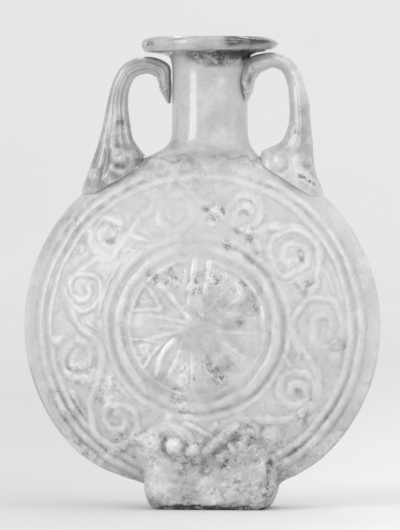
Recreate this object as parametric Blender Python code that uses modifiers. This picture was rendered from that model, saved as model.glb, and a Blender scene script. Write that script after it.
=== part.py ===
"""Mould-blown glass pilgrim flask with two applied strap handles, in metres, +Z up.

The flask stands on its foot at z = 0 with its relief face towards -Y.
The disc body is centred on x = 0; neck, rim and foot stand a little to the right of it.
"""
import math

import bpy
import bmesh
from mathutils import Vector

# Driving dimensions
DISC_RADIUS = 0.0805
DISC_HALF_DEPTH = 0.0280
DISC_CENTRE_Z = 0.0819
EDGE_HALF_DEPTH = 0.0024
FOOT_AXIS_X = 0.0044
WALL = 0.0022
FIT_GAP = 0.0003

# Rounding of the disc's edge, and radii of the hollow's rings
EDGE_ROUNDING = 0.0005
EDGE_ROUNDING_SHARE = 0.7
CAVITY_RADII = [0.0, 0.0220, 0.0400, 0.0560, 0.0700]

# Facets
DISC_SEGMENTS = 40
CAVITY_SEGMENTS = 28
NECK_SEGMENTS = 24
FOOT_CORNER_STEPS = 5
HANDLE_SIDES = 12
HANDLE_STEPS = 2
BERRY_SEGMENTS = 8
BERRY_RINGS = 5
WELD_DISTANCE = 0.00001

# Rings turned on each face: radius from the disc's centre and height over the lens
FRONT_RINGS = [
    (0.0783, 0.0), (0.0742, -0.0002), (0.0720, 0.0012), (0.0698, -0.0003), (0.0681, 0.0010),
    (0.0662, 0.0), (0.0540, 0.0), (0.0410, 0.0), (0.0392, -0.0005), (0.0358, 0.0014),
    (0.0320, 0.0002), (0.0160, 0.0),
]
BACK_RINGS = [
    (0.0783, 0.0), (0.0742, -0.0002), (0.0720, 0.0012), (0.0698, 0.0), (0.0540, 0.0),
    (0.0390, -0.0003), (0.0358, 0.0012), (0.0322, 0.0), (0.0160, 0.0),
]

# Neck and rim: height, axis x, half width, half depth, and rise of the ring per metre of x
NECK_SECTIONS = [
    (0.1500, 0.0000, 0.0200, 0.0046, 0.0),
    (0.1545, 0.0000, 0.0270, 0.0064, 0.0),
    (0.1570, 0.0002, 0.0268, 0.0082, 0.0),
    (0.1588, 0.0012, 0.0245, 0.0108, 0.0),
    (0.1612, 0.0029, 0.0206, 0.0142, 0.0),
    (0.1640, 0.0034, 0.0185, 0.0163, 0.0),
    (0.1680, 0.0036, 0.0173, 0.0168, 0.0),
    (0.1985, 0.0036, 0.0169, 0.0169, 0.0),
    (0.2018, 0.0036, 0.0178, 0.0178, 0.010),
    (0.2040, 0.0036, 0.0203, 0.0203, 0.018),
    (0.2054, 0.0036, 0.0284, 0.0284, 0.018),
    (0.2062, 0.0036, 0.0300, 0.0300, 0.014),
    (0.2082, 0.0036, 0.0308, 0.0308, 0.006),
    (0.2102, 0.0036, 0.0304, 0.0304, 0.0),
    (0.2117, 0.0036, 0.0280, 0.0280, 0.0),
]

# Bore of the neck and the dished mouth
BORE_RADIUS = 0.0147
BORE_SECTIONS = [
    (0.1460, 0.0000, 0.0150, 0.0072, 0.0),
    (0.1545, 0.0010, 0.0225, 0.0054, 0.0),
    (0.1570, 0.0014, 0.0225, 0.0060, 0.0),
    (0.1590, 0.0020, 0.0205, 0.0084, 0.0),
    (0.1630, 0.0033, 0.0164, 0.0126, 0.0),
    (0.1700, 0.0036, 0.0149, 0.0146, 0.0),
    (0.2000, 0.0036, BORE_RADIUS, BORE_RADIUS, 0.0),
    (0.2065, 0.0036, 0.0155, 0.0155, 0.0),
    (0.2095, 0.0036, 0.0182, 0.0182, 0.0),
    (0.2109, 0.0036, 0.0220, 0.0220, 0.0),
    (0.2125, 0.0036, 0.0264, 0.0264, 0.0),
]

# Foot: height, half width, half depth, corner radius
FOOT_SECTIONS = [
    (0.0000, 0.0245, 0.0150, 0.0055),
    (0.0010, 0.0262, 0.0168, 0.0062),
    (0.0028, 0.0274, 0.0180, 0.0065),
    (0.0065, 0.0288, 0.0184, 0.0060),
    (0.0115, 0.0296, 0.0179, 0.0055),
    (0.0150, 0.0293, 0.0165, 0.0055),
    (0.0185, 0.0282, 0.0143, 0.0050),
    (0.0215, 0.0262, 0.0115, 0.0045),
    (0.0260, 0.0232, 0.0080, 0.0040),
]

# Handles, from the neck over the arch to the claw on the shoulder:
# x, z, half thickness, direction of the outer side in degrees, half depth
LEFT_HANDLE = [
    (-0.0149, 0.1820, 0.0008, 0, 0.0028),
    (-0.0154, 0.1850, 0.0017, 0, 0.0046),
    (-0.0161, 0.1880, 0.0027, 0, 0.0060),
    (-0.0167, 0.1926, 0.0031, 12, 0.0068),
    (-0.0181, 0.1970, 0.0040, 48, 0.0067),
    (-0.0249, 0.1993, 0.0038, 92, 0.0064),
    (-0.0328, 0.1964, 0.0040, 135, 0.0064),
    (-0.0368, 0.1889, 0.0043, 172, 0.0064),
    (-0.0382, 0.1809, 0.0047, 180, 0.0066),
    (-0.0384, 0.1728, 0.0059, 180, 0.0070),
    (-0.0387, 0.1660, 0.0076, 181, 0.0074),
    (-0.0384, 0.1606, 0.0102, 186, 0.0078),
    (-0.0386, 0.1552, 0.0133, 196, 0.0082),
    (-0.0403, 0.1500, 0.0161, 209, 0.0084),
    (-0.0385, 0.1469, 0.0153, 209, 0.0080),
]
RIGHT_HANDLE = [
    (0.0199, 0.1827, 0.0010, 180, 0.0060),
    (0.0206, 0.1881, 0.0028, 180, 0.0104),
    (0.0207, 0.1926, 0.0034, 172, 0.0110),
    (0.0230, 0.1982, 0.0043, 130, 0.0080),
    (0.0280, 0.2006, 0.0040, 100, 0.0066),
    (0.0330, 0.2012, 0.0036, 80, 0.0064),
    (0.0384, 0.1982, 0.0036, 45, 0.0064),
    (0.0424, 0.1908, 0.0040, 10, 0.0064),
    (0.0439, 0.1835, 0.0045, 2, 0.0066),
    (0.0441, 0.1755, 0.0052, 0, 0.0068),
    (0.0439, 0.1701, 0.0059, 0, 0.0070),
    (0.0429, 0.1647, 0.0072, -3, 0.0074),
    (0.0407, 0.1602, 0.0099, -12, 0.0078),
    (0.0398, 0.1552, 0.0135, -25, 0.0082),
    (0.0407, 0.1503, 0.0166, -33, 0.0084),
    (0.0389, 0.1471, 0.0158, -33, 0.0080),
]
HANDLE_RIBS = 6
LEFT_RIB_DEPTH = 0.07
RIGHT_RIB_DEPTH = 0.03

# Vine scroll: angle in degrees, distance from the disc's centre, radius of the volute
VOLUTES = [
    (-69, 0.0546, 0.0060),
    (-33, 0.0527, 0.0073),
    (0, 0.0575, 0.0089),
    (38, 0.0516, 0.0086),
    (68, 0.0554, 0.0073),
    (101, 0.0525, 0.0082),
    (135, 0.0594, 0.0087),
    (163, 0.0541, 0.0081),
    (195, 0.0565, 0.0080),
    (230, 0.0543, 0.0088),
    (257, 0.0527, 0.0081),
]
VOLUTE_TURNS = 1.5
VOLUTE_CLOSING = 1.4
VOLUTE_STEPS_PER_TURN = 8
VOLUTE_END_SHARE = 0.16
VOLUTE_TAPER = 0.25
STEM_INNER_RADIUS = 0.0455
STEM_OUTER_RADIUS = 0.0632
STEM_STEP_DEGREES = 8
STEM_END_SHARE = 0.5
RIDGE_RADIUS = 0.0013
RIDGE_SINK = 0.0003

# Rosette in the medallion
PETAL_ANGLES = [2, 43, 85, 137, 181, 228, 275, 320]
PETAL_INNER_RADIUS = 0.0070
PETAL_OUTER_RADIUS = 0.0285
PETAL_INNER_HALF_WIDTH = 0.0014
PETAL_OUTER_HALF_WIDTH = 0.0031
PETAL_STEPS = 2
PETAL_END_SHARE = 0.7
SPANDREL_OUTER_RADIUS = 0.0270
SPANDREL_INNER_RADIUS = 0.0165
SPANDREL_MARGIN_DEGREES = 11
SPANDREL_END_SHARE = 0.6
SPANDREL_POINT_SHARE = 0.9
ROSETTE_RIDGE_RADIUS = 0.0010

# Berries in the scroll: x and z from the disc's centre, radius
BERRIES = [
    (-0.0531, 0.0347, 0.0027),
    (-0.0640, -0.0060, 0.0027),
    (0.0610, -0.0140, 0.0030),
    (0.0081, 0.0540, 0.0024),
    (0.0330, -0.0480, 0.0034),
]
BERRY_FLATTENING = 0.45

# Plainer back: single petals and a plain wave, turned a little off the disc's facet edges
BACK_TURN_DEGREES = 2.5
BACK_PETALS = 8
BACK_WAVES = 8
BACK_WAVE_STEP_DEGREES = 10
BACK_WAVE_MIDDLE = 0.0540
BACK_WAVE_SWING = 0.0085

GLASS_COLOUR = (0.70, 0.71, 0.69, 1.0)
GLASS_ROUGHNESS = 0.45
GLASS_TRANSMISSION = 0.3

FACE_RADIUS = (DISC_RADIUS ** 2 + (DISC_HALF_DEPTH - EDGE_HALF_DEPTH) ** 2) / (
    2.0 * (DISC_HALF_DEPTH - EDGE_HALF_DEPTH))


def clear_scene():
    for existing in list(bpy.data.objects):
        bpy.data.objects.remove(existing, do_unlink=True)


def new_collection(name):
    collection = bpy.data.collections.new(name)
    bpy.context.scene.collection.children.link(collection)
    return collection


def glass_material(name):
    material = bpy.data.materials.new(name)
    material.use_nodes = True
    shader = material.node_tree.nodes["Principled BSDF"]
    shader.inputs["Base Color"].default_value = GLASS_COLOUR
    shader.inputs["Roughness"].default_value = GLASS_ROUGHNESS
    shader.inputs["Metallic"].default_value = 0.0
    shader.inputs["Transmission Weight"].default_value = GLASS_TRANSMISSION
    return material


def add_tool(tools, tool):
    tools.objects.link(tool)
    tool.hide_render = True
    tool.display_type = "WIRE"
    return tool


def add_boolean(target, tool, operation):
    modifier = target.modifiers.new(tool.name, "BOOLEAN")
    modifier.operation = operation
    modifier.solver = "EXACT"
    modifier.object = tool


def face_depth(radius):
    """Depth of the smooth lens face in front of the disc's middle plane."""
    return math.sqrt(FACE_RADIUS ** 2 - radius ** 2) - (FACE_RADIUS - DISC_HALF_DEPTH)


def polar(radius, degrees):
    angle = math.radians(degrees)
    return radius * math.cos(angle), radius * math.sin(angle)


def turned(name, profile, segments):
    """Turn (radius, height) points, listed from the top pole to the bottom pole, about local Z."""
    mesh = bpy.data.meshes.new(name)
    points = [(radius, 0.0, height) for radius, height in profile]
    edges = [(index, index + 1) for index in range(len(points) - 1)]
    mesh.from_pydata(points, edges, [])
    body = bpy.data.objects.new(name, mesh)
    screw = body.modifiers.new("turn", "SCREW")
    screw.axis = "Z"
    screw.steps = segments
    screw.render_steps = segments
    screw.use_merge_vertices = True
    screw.merge_threshold = WELD_DISTANCE
    return body


def stand_on_edge(body, facing_back=False):
    """Turn local +Z to the front, or to the back, and lift the disc to its height."""
    body.rotation_euler = (math.pi / 2.0, 0.0, math.pi if facing_back else 0.0)
    body.location = (0.0, 0.0, DISC_CENTRE_Z)
    return body


def disc_profile(grow=0.0):
    """Profile of the lens with its rings, from the front pole round the edge to the back pole."""
    front = [(radius, face_depth(radius) + height + grow) for radius, height in reversed(FRONT_RINGS)]
    back = [(radius, -face_depth(radius) - height - grow) for radius, height in BACK_RINGS]
    edge_radius = DISC_RADIUS - EDGE_ROUNDING + grow
    front_edge = (edge_radius, EDGE_HALF_DEPTH * EDGE_ROUNDING_SHARE)
    edge = (DISC_RADIUS + grow, 0.0)
    back_edge = (edge_radius, -EDGE_HALF_DEPTH * EDGE_ROUNDING_SHARE)
    pole = DISC_HALF_DEPTH + grow
    return [(0.0, pole)] + front + [front_edge, edge, back_edge] + back + [(0.0, -pole)]


def cavity_profile():
    """Profile of the hollow inside the lens, one wall thickness in from its faces."""
    front = [(radius, face_depth(radius) - WALL) for radius in CAVITY_RADII]
    edge = [(DISC_RADIUS - 2.0 * WALL, 0.0)]
    back = [(radius, -depth) for radius, depth in reversed(front)]
    return front + edge + back


def loft(name, rings):
    """Skin a row of closed rings with the same number of points, and cap both ends."""
    form = bmesh.new()
    rows = [[form.verts.new(point) for point in ring] for ring in rings]
    count = len(rows[0])
    for lower, upper in zip(rows, rows[1:]):
        for index in range(count):
            following = (index + 1) % count
            form.faces.new((lower[index], lower[following], upper[following], upper[index]))
    form.faces.new(list(reversed(rows[0])))
    form.faces.new(rows[-1])
    bmesh.ops.recalc_face_normals(form, faces=form.faces)
    mesh = bpy.data.meshes.new(name)
    form.to_mesh(mesh)
    form.free()
    return bpy.data.objects.new(name, mesh)


def oval_ring(section, grow=0.0):
    """One horizontal ring of the neck or the bore."""
    height, centre_x, half_width, half_depth, rise = section
    ring = []
    for index in range(NECK_SEGMENTS):
        angle = 2.0 * math.pi * index / NECK_SEGMENTS
        x = (half_width + grow) * math.cos(angle)
        y = (half_depth + grow) * math.sin(angle)
        ring.append(Vector((centre_x + x, y, height + rise * x)))
    return ring


def foot_ring(section):
    """One horizontal ring of the foot: a rectangle with rounded corners."""
    height, half_width, half_depth, corner = section
    ring = []
    for quarter, (side_x, side_y) in enumerate([(1, 1), (-1, 1), (-1, -1), (1, -1)]):
        centre_x = FOOT_AXIS_X + side_x * (half_width - corner)
        centre_y = side_y * (half_depth - corner)
        for step in range(FOOT_CORNER_STEPS):
            angle = math.radians(90.0 * (quarter + step / (FOOT_CORNER_STEPS - 1)))
            x = centre_x + corner * math.cos(angle)
            y = centre_y + corner * math.sin(angle)
            ring.append(Vector((x, y, height)))
    return ring


def between(row_before, row_a, row_b, row_after, share):
    """Smooth value between two rows of a table, column by column."""
    values = []
    for before, a, b, after in zip(row_before, row_a, row_b, row_after):
        slope_a = (b - before) / 2.0
        slope_b = (after - a) / 2.0
        cube = 2.0 * a - 2.0 * b + slope_a + slope_b
        square = 3.0 * b - 3.0 * a - 2.0 * slope_a - slope_b
        values.append(((cube * share + square) * share + slope_a) * share + a)
    return values


def handle_rings(rows, rib_depth):
    """Rings of a ribbed strap along its rows, with extra rings blended between them."""
    sections = []
    for index in range(len(rows) - 1):
        before = rows[max(index - 1, 0)]
        after = rows[min(index + 2, len(rows) - 1)]
        for step in range(HANDLE_STEPS):
            share = step / HANDLE_STEPS
            sections.append(between(before, rows[index], rows[index + 1], after, share))
    sections.append(list(rows[-1]))
    rings = []
    for x, z, half_thickness, outer_degrees, half_depth in sections:
        outward = Vector((*polar(1.0, outer_degrees), 0.0)).xzy
        centre = Vector((x, 0.0, z))
        ring = []
        for side in range(HANDLE_SIDES):
            angle = 2.0 * math.pi * side / HANDLE_SIDES
            swell = 1.0 + rib_depth * math.cos(HANDLE_RIBS * angle)
            across = outward * (half_thickness * swell * math.cos(angle))
            deep = Vector((0.0, half_depth * swell * math.sin(angle), 0.0))
            ring.append(centre + across + deep)
        rings.append(ring)
    return rings


def ridge(name, paths, radius, facing_back=False, closed=False):
    """Half-sunk ridges along paths of (x, y, share of full radius) on a face of the disc."""
    data = bpy.data.curves.new(name, "CURVE")
    data.dimensions = "3D"
    data.twist_mode = "Z_UP"
    data.bevel_depth = radius
    data.bevel_resolution = 0
    data.use_fill_caps = True
    for path in paths:
        spline = data.splines.new("POLY")
        spline.points.add(len(path) - 1)
        spline.use_cyclic_u = closed
        for point, (x, y, share) in zip(spline.points, path):
            height = face_depth(math.hypot(x, y)) - RIDGE_SINK
            point.co = (x, y, height, 1.0)
            point.radius = share
    guide = bpy.data.objects.new(name + "_curve", data)
    bpy.context.scene.collection.objects.link(guide)
    evaluated = guide.evaluated_get(bpy.context.evaluated_depsgraph_get())
    mesh = bpy.data.meshes.new_from_object(evaluated)
    mesh.name = name
    form = bmesh.new()
    form.from_mesh(mesh)
    bmesh.ops.remove_doubles(form, verts=form.verts, dist=WELD_DISTANCE)
    bmesh.ops.recalc_face_normals(form, faces=form.faces)
    form.to_mesh(mesh)
    form.free()
    bpy.data.objects.remove(guide)
    return stand_on_edge(bpy.data.objects.new(name, mesh), facing_back)


def stem_path():
    """The stem swings out round every second volute and in round the others."""
    path = []
    for index in range(len(VOLUTES) - 1):
        start_angle = VOLUTES[index][0]
        end_angle = VOLUTES[index + 1][0]
        goes_out = index % 2 == 0
        start_radius = STEM_INNER_RADIUS if goes_out else STEM_OUTER_RADIUS
        end_radius = STEM_OUTER_RADIUS if goes_out else STEM_INNER_RADIUS
        steps = round((end_angle - start_angle) / STEM_STEP_DEGREES)
        for step in range(steps):
            share = step / steps
            swing = (1.0 - math.cos(math.pi * share)) / 2.0
            radius = start_radius + (end_radius - start_radius) * swing
            angle = start_angle + (end_angle - start_angle) * share
            path.append((*polar(radius, angle), 1.0))
    path.append((*polar(STEM_INNER_RADIUS, VOLUTES[-1][0]), STEM_END_SHARE))
    path[0] = (path[0][0], path[0][1], STEM_END_SHARE)
    return path


def volute_path(index):
    """A tendril that leaves the stem and winds in to the volute's middle."""
    degrees, distance, size = VOLUTES[index]
    stem_outside = index % 2 == 1
    turning = 1.0 if stem_outside else -1.0
    start = degrees if stem_outside else degrees + 180.0
    centre_x, centre_y = polar(distance, degrees)
    steps = round(VOLUTE_TURNS * VOLUTE_STEPS_PER_TURN)
    path = []
    for step in range(steps + 1):
        share = step / steps
        reach = size * (1.0 - (1.0 - VOLUTE_END_SHARE) * share ** VOLUTE_CLOSING)
        x, y = polar(reach, start + turning * 360.0 * VOLUTE_TURNS * share)
        path.append((centre_x + x, centre_y + y, 1.0 - VOLUTE_TAPER * share))
    return path


def petal_paths():
    """Two ridges for each petal, spreading a little from the rosette's middle."""
    paths = []
    for degrees in PETAL_ANGLES:
        for side in (-1.0, 1.0):
            path = []
            for step in range(PETAL_STEPS + 1):
                share = step / PETAL_STEPS
                radius = PETAL_INNER_RADIUS + (PETAL_OUTER_RADIUS - PETAL_INNER_RADIUS) * share
                spread = PETAL_OUTER_HALF_WIDTH - PETAL_INNER_HALF_WIDTH
                offset = PETAL_INNER_HALF_WIDTH + spread * share
                turn = side * math.degrees(math.atan2(offset, radius))
                swell = PETAL_END_SHARE + (1.0 - PETAL_END_SHARE) * math.sin(math.pi * share)
                path.append((*polar(radius, degrees + turn), swell))
            paths.append(path)
    return paths


def spandrel_paths():
    """A small triangle of ridges between each two petals, open at its corners."""
    paths = []
    for index, degrees in enumerate(PETAL_ANGLES):
        following = PETAL_ANGLES[(index + 1) % len(PETAL_ANGLES)]
        gap = (following - degrees) % 360
        first = polar(SPANDREL_OUTER_RADIUS, degrees + SPANDREL_MARGIN_DEGREES)
        second = polar(SPANDREL_OUTER_RADIUS, degrees + gap - SPANDREL_MARGIN_DEGREES)
        inner = polar(SPANDREL_INNER_RADIUS, degrees + gap / 2.0)
        paths.append([
            (*first, SPANDREL_END_SHARE), (*inner, SPANDREL_POINT_SHARE), (*second, SPANDREL_END_SHARE)])
    return paths


def back_wave_path():
    """A plain wave right round the back."""
    path = []
    steps = round(360.0 / BACK_WAVE_STEP_DEGREES)
    for step in range(steps):
        degrees = step * BACK_WAVE_STEP_DEGREES
        swing = BACK_WAVE_SWING * math.cos(math.radians(BACK_WAVES * degrees))
        path.append((*polar(BACK_WAVE_MIDDLE + swing, degrees + BACK_TURN_DEGREES), 1.0))
    return path


def back_petal_paths():
    paths = []
    for index in range(BACK_PETALS):
        degrees = 360.0 * index / BACK_PETALS + BACK_TURN_DEGREES
        inner = polar(PETAL_INNER_RADIUS, degrees)
        middle = polar((PETAL_INNER_RADIUS + PETAL_OUTER_RADIUS) / 2.0, degrees)
        outer = polar(PETAL_OUTER_RADIUS, degrees)
        paths.append([(*inner, PETAL_END_SHARE), (*middle, 1.0), (*outer, PETAL_END_SHARE)])
    return paths


def berry(index, tools):
    """A flattened berry half sunk in the face."""
    x, y, radius = BERRIES[index]
    form = bmesh.new()
    bmesh.ops.create_uvsphere(
        form, u_segments=BERRY_SEGMENTS, v_segments=BERRY_RINGS, radius=radius)
    for vertex in form.verts:
        vertex.co.z *= BERRY_FLATTENING
        vertex.co += Vector((x, y, face_depth(math.hypot(x, y))))
    mesh = bpy.data.meshes.new("berry")
    form.to_mesh(mesh)
    form.free()
    return add_tool(tools, stand_on_edge(bpy.data.objects.new(f"berry_{index}", mesh)))


def front_relief(tools):
    """Every ridge of the relief face, in groups that don't cross within a group."""
    groups = [
        ("stem", [stem_path()], RIDGE_RADIUS),
        ("volutes_out", [volute_path(index) for index in range(1, len(VOLUTES), 2)], RIDGE_RADIUS),
        ("volutes_in", [volute_path(index) for index in range(0, len(VOLUTES), 2)], RIDGE_RADIUS),
        ("petals", petal_paths(), ROSETTE_RIDGE_RADIUS),
        ("spandrels", spandrel_paths(), ROSETTE_RIDGE_RADIUS),
    ]
    relief = [add_tool(tools, ridge(name, paths, radius)) for name, paths, radius in groups]
    return relief + [berry(index, tools) for index in range(len(BERRIES))]


def back_relief(tools):
    wave = ridge("back_wave", [back_wave_path()], RIDGE_RADIUS, facing_back=True, closed=True)
    petals = ridge("back_petals", back_petal_paths(), RIDGE_RADIUS, facing_back=True)
    return [add_tool(tools, wave), add_tool(tools, petals)]


def flask_body(parts, tools, material):
    """Disc, neck, rim and foot blown as one hollow vessel, open at the mouth."""
    body = stand_on_edge(turned("flask_body", disc_profile(), DISC_SEGMENTS))
    parts.objects.link(body)
    neck = add_tool(tools, loft("neck", [oval_ring(section) for section in NECK_SECTIONS]))
    foot = add_tool(tools, loft("foot", [foot_ring(section) for section in FOOT_SECTIONS]))
    cavity = add_tool(tools, stand_on_edge(turned("cavity", cavity_profile(), CAVITY_SEGMENTS)))
    bore = add_tool(tools, loft("bore", [oval_ring(section) for section in BORE_SECTIONS]))
    for piece in [neck, foot] + front_relief(tools) + back_relief(tools):
        add_boolean(body, piece, "UNION")
    add_boolean(body, cavity, "DIFFERENCE")
    add_boolean(body, bore, "DIFFERENCE")
    body.data.materials.append(material)
    return body


def handle(name, rows, rib_depth, parts, fitting_tools, material):
    """A strap drawn from the neck to the shoulder, trimmed where it meets the vessel."""
    strap = loft(name, handle_rings(rows, rib_depth))
    parts.objects.link(strap)
    for tool in fitting_tools:
        add_boolean(strap, tool, "DIFFERENCE")
    strap.data.materials.append(material)
    return strap


def build():
    clear_scene()
    parts = new_collection("pilgrim_flask")
    tools = new_collection("pilgrim_flask_tools")
    flask_body(parts, tools, glass_material("body_glass"))
    grown_disc = add_tool(tools, stand_on_edge(
        turned("disc_with_gap", disc_profile(FIT_GAP), DISC_SEGMENTS)))
    grown_neck = add_tool(tools, loft(
        "neck_with_gap", [oval_ring(section, FIT_GAP) for section in NECK_SECTIONS]))
    handle_glass = glass_material("handle_glass")
    fitting_tools = [grown_disc, grown_neck]
    handle("left_handle", LEFT_HANDLE, LEFT_RIB_DEPTH, parts, fitting_tools, handle_glass)
    handle("right_handle", RIGHT_HANDLE, RIGHT_RIB_DEPTH, parts, fitting_tools, handle_glass)


build()
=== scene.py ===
"""Looks of the glass pilgrim flask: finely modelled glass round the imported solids, in metres, +Z up."""
import math

import bmesh
import bpy
import numpy as np
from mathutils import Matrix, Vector


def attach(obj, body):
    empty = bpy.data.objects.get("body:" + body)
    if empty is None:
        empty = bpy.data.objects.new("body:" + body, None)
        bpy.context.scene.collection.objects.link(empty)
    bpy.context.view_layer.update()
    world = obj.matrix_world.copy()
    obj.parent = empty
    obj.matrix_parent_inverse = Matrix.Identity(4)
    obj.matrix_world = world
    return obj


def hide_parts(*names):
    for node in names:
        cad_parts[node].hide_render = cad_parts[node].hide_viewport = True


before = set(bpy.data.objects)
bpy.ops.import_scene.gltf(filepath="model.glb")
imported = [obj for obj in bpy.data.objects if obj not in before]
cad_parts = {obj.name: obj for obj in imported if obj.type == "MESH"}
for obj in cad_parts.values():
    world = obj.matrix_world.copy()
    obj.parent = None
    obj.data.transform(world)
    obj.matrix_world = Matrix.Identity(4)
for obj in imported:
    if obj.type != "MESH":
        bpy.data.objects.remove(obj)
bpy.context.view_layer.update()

# Sizes of the solids
DISC_RADIUS = 0.0805
DISC_HALF_DEPTH = 0.0280
DISC_CENTRE_Z = 0.0819
EDGE_HALF_DEPTH = 0.0024
FOOT_AXIS_X = 0.0044
NECK_AXIS_X = 0.0036
WALL = 0.0022
FACE_RADIUS = (DISC_RADIUS ** 2 + (DISC_HALF_DEPTH - EDGE_HALF_DEPTH) ** 2) / (
    2.0 * (DISC_HALF_DEPTH - EDGE_HALF_DEPTH))

# Neck and rim: height, axis x, half width, half depth, and rise of the ring per metre of x
NECK_SECTIONS = [
    (0.1480, 0.0000, 0.0150, 0.0042, 0.0),
    (0.1500, 0.0000, 0.0200, 0.0046, 0.0),
    (0.1545, 0.0000, 0.0270, 0.0064, 0.0),
    (0.1570, 0.0002, 0.0268, 0.0082, 0.0),
    (0.1588, 0.0012, 0.0245, 0.0108, 0.0),
    (0.1612, 0.0029, 0.0206, 0.0142, 0.0),
    (0.1640, 0.0034, 0.0185, 0.0163, 0.0),
    (0.1670, 0.0036, 0.0175, 0.0168, 0.0),
    (0.1715, 0.0036, 0.0171, 0.0168, 0.0),
    (0.1790, 0.0036, 0.0170, 0.0168, 0.0),
    (0.1890, 0.0036, 0.0169, 0.0169, 0.0),
    (0.1960, 0.0036, 0.0169, 0.0169, 0.0),
    (0.2018, 0.0036, 0.0178, 0.0178, 0.010),
    (0.2040, 0.0036, 0.0203, 0.0203, 0.018),
    (0.2054, 0.0036, 0.0284, 0.0284, 0.018),
    (0.2062, 0.0036, 0.0299, 0.0299, 0.014),
    (0.2082, 0.0036, 0.0307, 0.0307, 0.006),
    (0.2102, 0.0036, 0.0303, 0.0303, 0.0),
    (0.2116, 0.0036, 0.0280, 0.0280, 0.0),
]
BORE_SECTIONS = [
    (0.1460, 0.0000, 0.0150, 0.0072, 0.0),
    (0.1545, 0.0010, 0.0225, 0.0054, 0.0),
    (0.1570, 0.0014, 0.0225, 0.0060, 0.0),
    (0.1590, 0.0020, 0.0205, 0.0084, 0.0),
    (0.1630, 0.0033, 0.0164, 0.0126, 0.0),
    (0.1700, 0.0036, 0.0149, 0.0146, 0.0),
    (0.2000, 0.0036, 0.0147, 0.0147, 0.0),
    (0.2065, 0.0036, 0.0155, 0.0155, 0.0),
    (0.2095, 0.0036, 0.0182, 0.0182, 0.0),
    (0.2109, 0.0036, 0.0220, 0.0220, 0.0),
    (0.2125, 0.0036, 0.0264, 0.0264, 0.0),
]
# Rim: where it starts, its middle, half its height, how far and how sharply its right end is drawn out,
# height and start of its wave
RIM_LOWEST = 0.2050
RIM_MIDDLE = 0.2083
RIM_HALF_HEIGHT = 0.0033
RIM_POINT = 0.0022
RIM_POINTEDNESS = 1.5
RIM_WAVE = 0.00025
RIM_WAVE_START = 0.8

# Foot: height, half width, half depth, corner radius
FOOT_SECTIONS = [
    (0.0000, 0.0245, 0.0150, 0.0055),
    (0.0010, 0.0262, 0.0168, 0.0062),
    (0.0028, 0.0274, 0.0180, 0.0065),
    (0.0055, 0.0284, 0.0184, 0.0062),
    (0.0085, 0.0293, 0.0184, 0.0058),
    (0.0115, 0.0296, 0.0179, 0.0055),
    (0.0150, 0.0293, 0.0165, 0.0055),
    (0.0185, 0.0282, 0.0143, 0.0050),
    (0.0215, 0.0262, 0.0115, 0.0045),
    (0.0260, 0.0232, 0.0080, 0.0040),
]

# Handles: x, z, half thickness, direction of the outer side in degrees, half depth
LEFT_HANDLE = [
    (-0.0149, 0.1820, 0.0008, 0, 0.0028),
    (-0.0154, 0.1850, 0.0017, 0, 0.0046),
    (-0.0161, 0.1880, 0.0027, 0, 0.0060),
    (-0.0167, 0.1926, 0.0031, 12, 0.0068),
    (-0.0181, 0.1970, 0.0040, 48, 0.0067),
    (-0.0249, 0.1993, 0.0038, 92, 0.0064),
    (-0.0328, 0.1964, 0.0040, 135, 0.0064),
    (-0.0368, 0.1889, 0.0043, 172, 0.0064),
    (-0.0382, 0.1809, 0.0047, 180, 0.0066),
    (-0.0384, 0.1728, 0.0059, 180, 0.0070),
    (-0.0387, 0.1660, 0.0076, 181, 0.0074),
    (-0.0384, 0.1606, 0.0102, 186, 0.0078),
    (-0.0386, 0.1552, 0.0133, 196, 0.0082),
    (-0.0403, 0.1500, 0.0161, 209, 0.0084),
    (-0.0385, 0.1469, 0.0153, 209, 0.0080),
]
RIGHT_HANDLE = [
    (0.0199, 0.1827, 0.0010, 180, 0.0060),
    (0.0206, 0.1881, 0.0028, 180, 0.0104),
    (0.0207, 0.1926, 0.0034, 172, 0.0110),
    (0.0230, 0.1982, 0.0043, 130, 0.0080),
    (0.0280, 0.2006, 0.0040, 100, 0.0066),
    (0.0330, 0.2012, 0.0036, 80, 0.0064),
    (0.0384, 0.1982, 0.0036, 45, 0.0064),
    (0.0424, 0.1908, 0.0040, 10, 0.0064),
    (0.0439, 0.1835, 0.0045, 2, 0.0066),
    (0.0441, 0.1755, 0.0052, 0, 0.0068),
    (0.0439, 0.1701, 0.0059, 0, 0.0070),
    (0.0429, 0.1647, 0.0072, -3, 0.0074),
    (0.0407, 0.1602, 0.0099, -12, 0.0078),
    (0.0398, 0.1552, 0.0135, -25, 0.0082),
    (0.0407, 0.1503, 0.0166, -33, 0.0084),
    (0.0389, 0.1471, 0.0158, -33, 0.0080),
]
HANDLE_SIDES = 84
HANDLE_STEPS = 12
HANDLE_BEND = 0.00025
THINNEST_HALF = 0.0006
RIB_SINK = 0.00015
RIB_FULL_THICKNESS = 0.0040
RIB_MOST = 1.6
LUMP_POINTEDNESS = 1.5
CURL_OPENING = (10.0, 60.0)
STRAP_FRONT = (-0.001, 0.003)

# Ribs drawn along each handle: direction round the strap with -90 in front, height, half width
LEFT_RIBS = [
    (-166, 0.00035, 13), (-136, 0.00050, 10), (-108, 0.00045, 8), (-84, 0.00055, 9), (-52, 0.00045, 12),
    (-20, 0.00030, 12), (20, 0.00035, 14), (65, 0.00045, 14), (115, 0.00045, 14), (155, 0.00035, 12),
]
RIGHT_RIBS = [
    (-150, 0.00020, 18), (-84, 0.00030, 12), (-35, 0.00018, 18), (60, 0.00025, 20), (130, 0.00020, 20),
]

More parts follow.
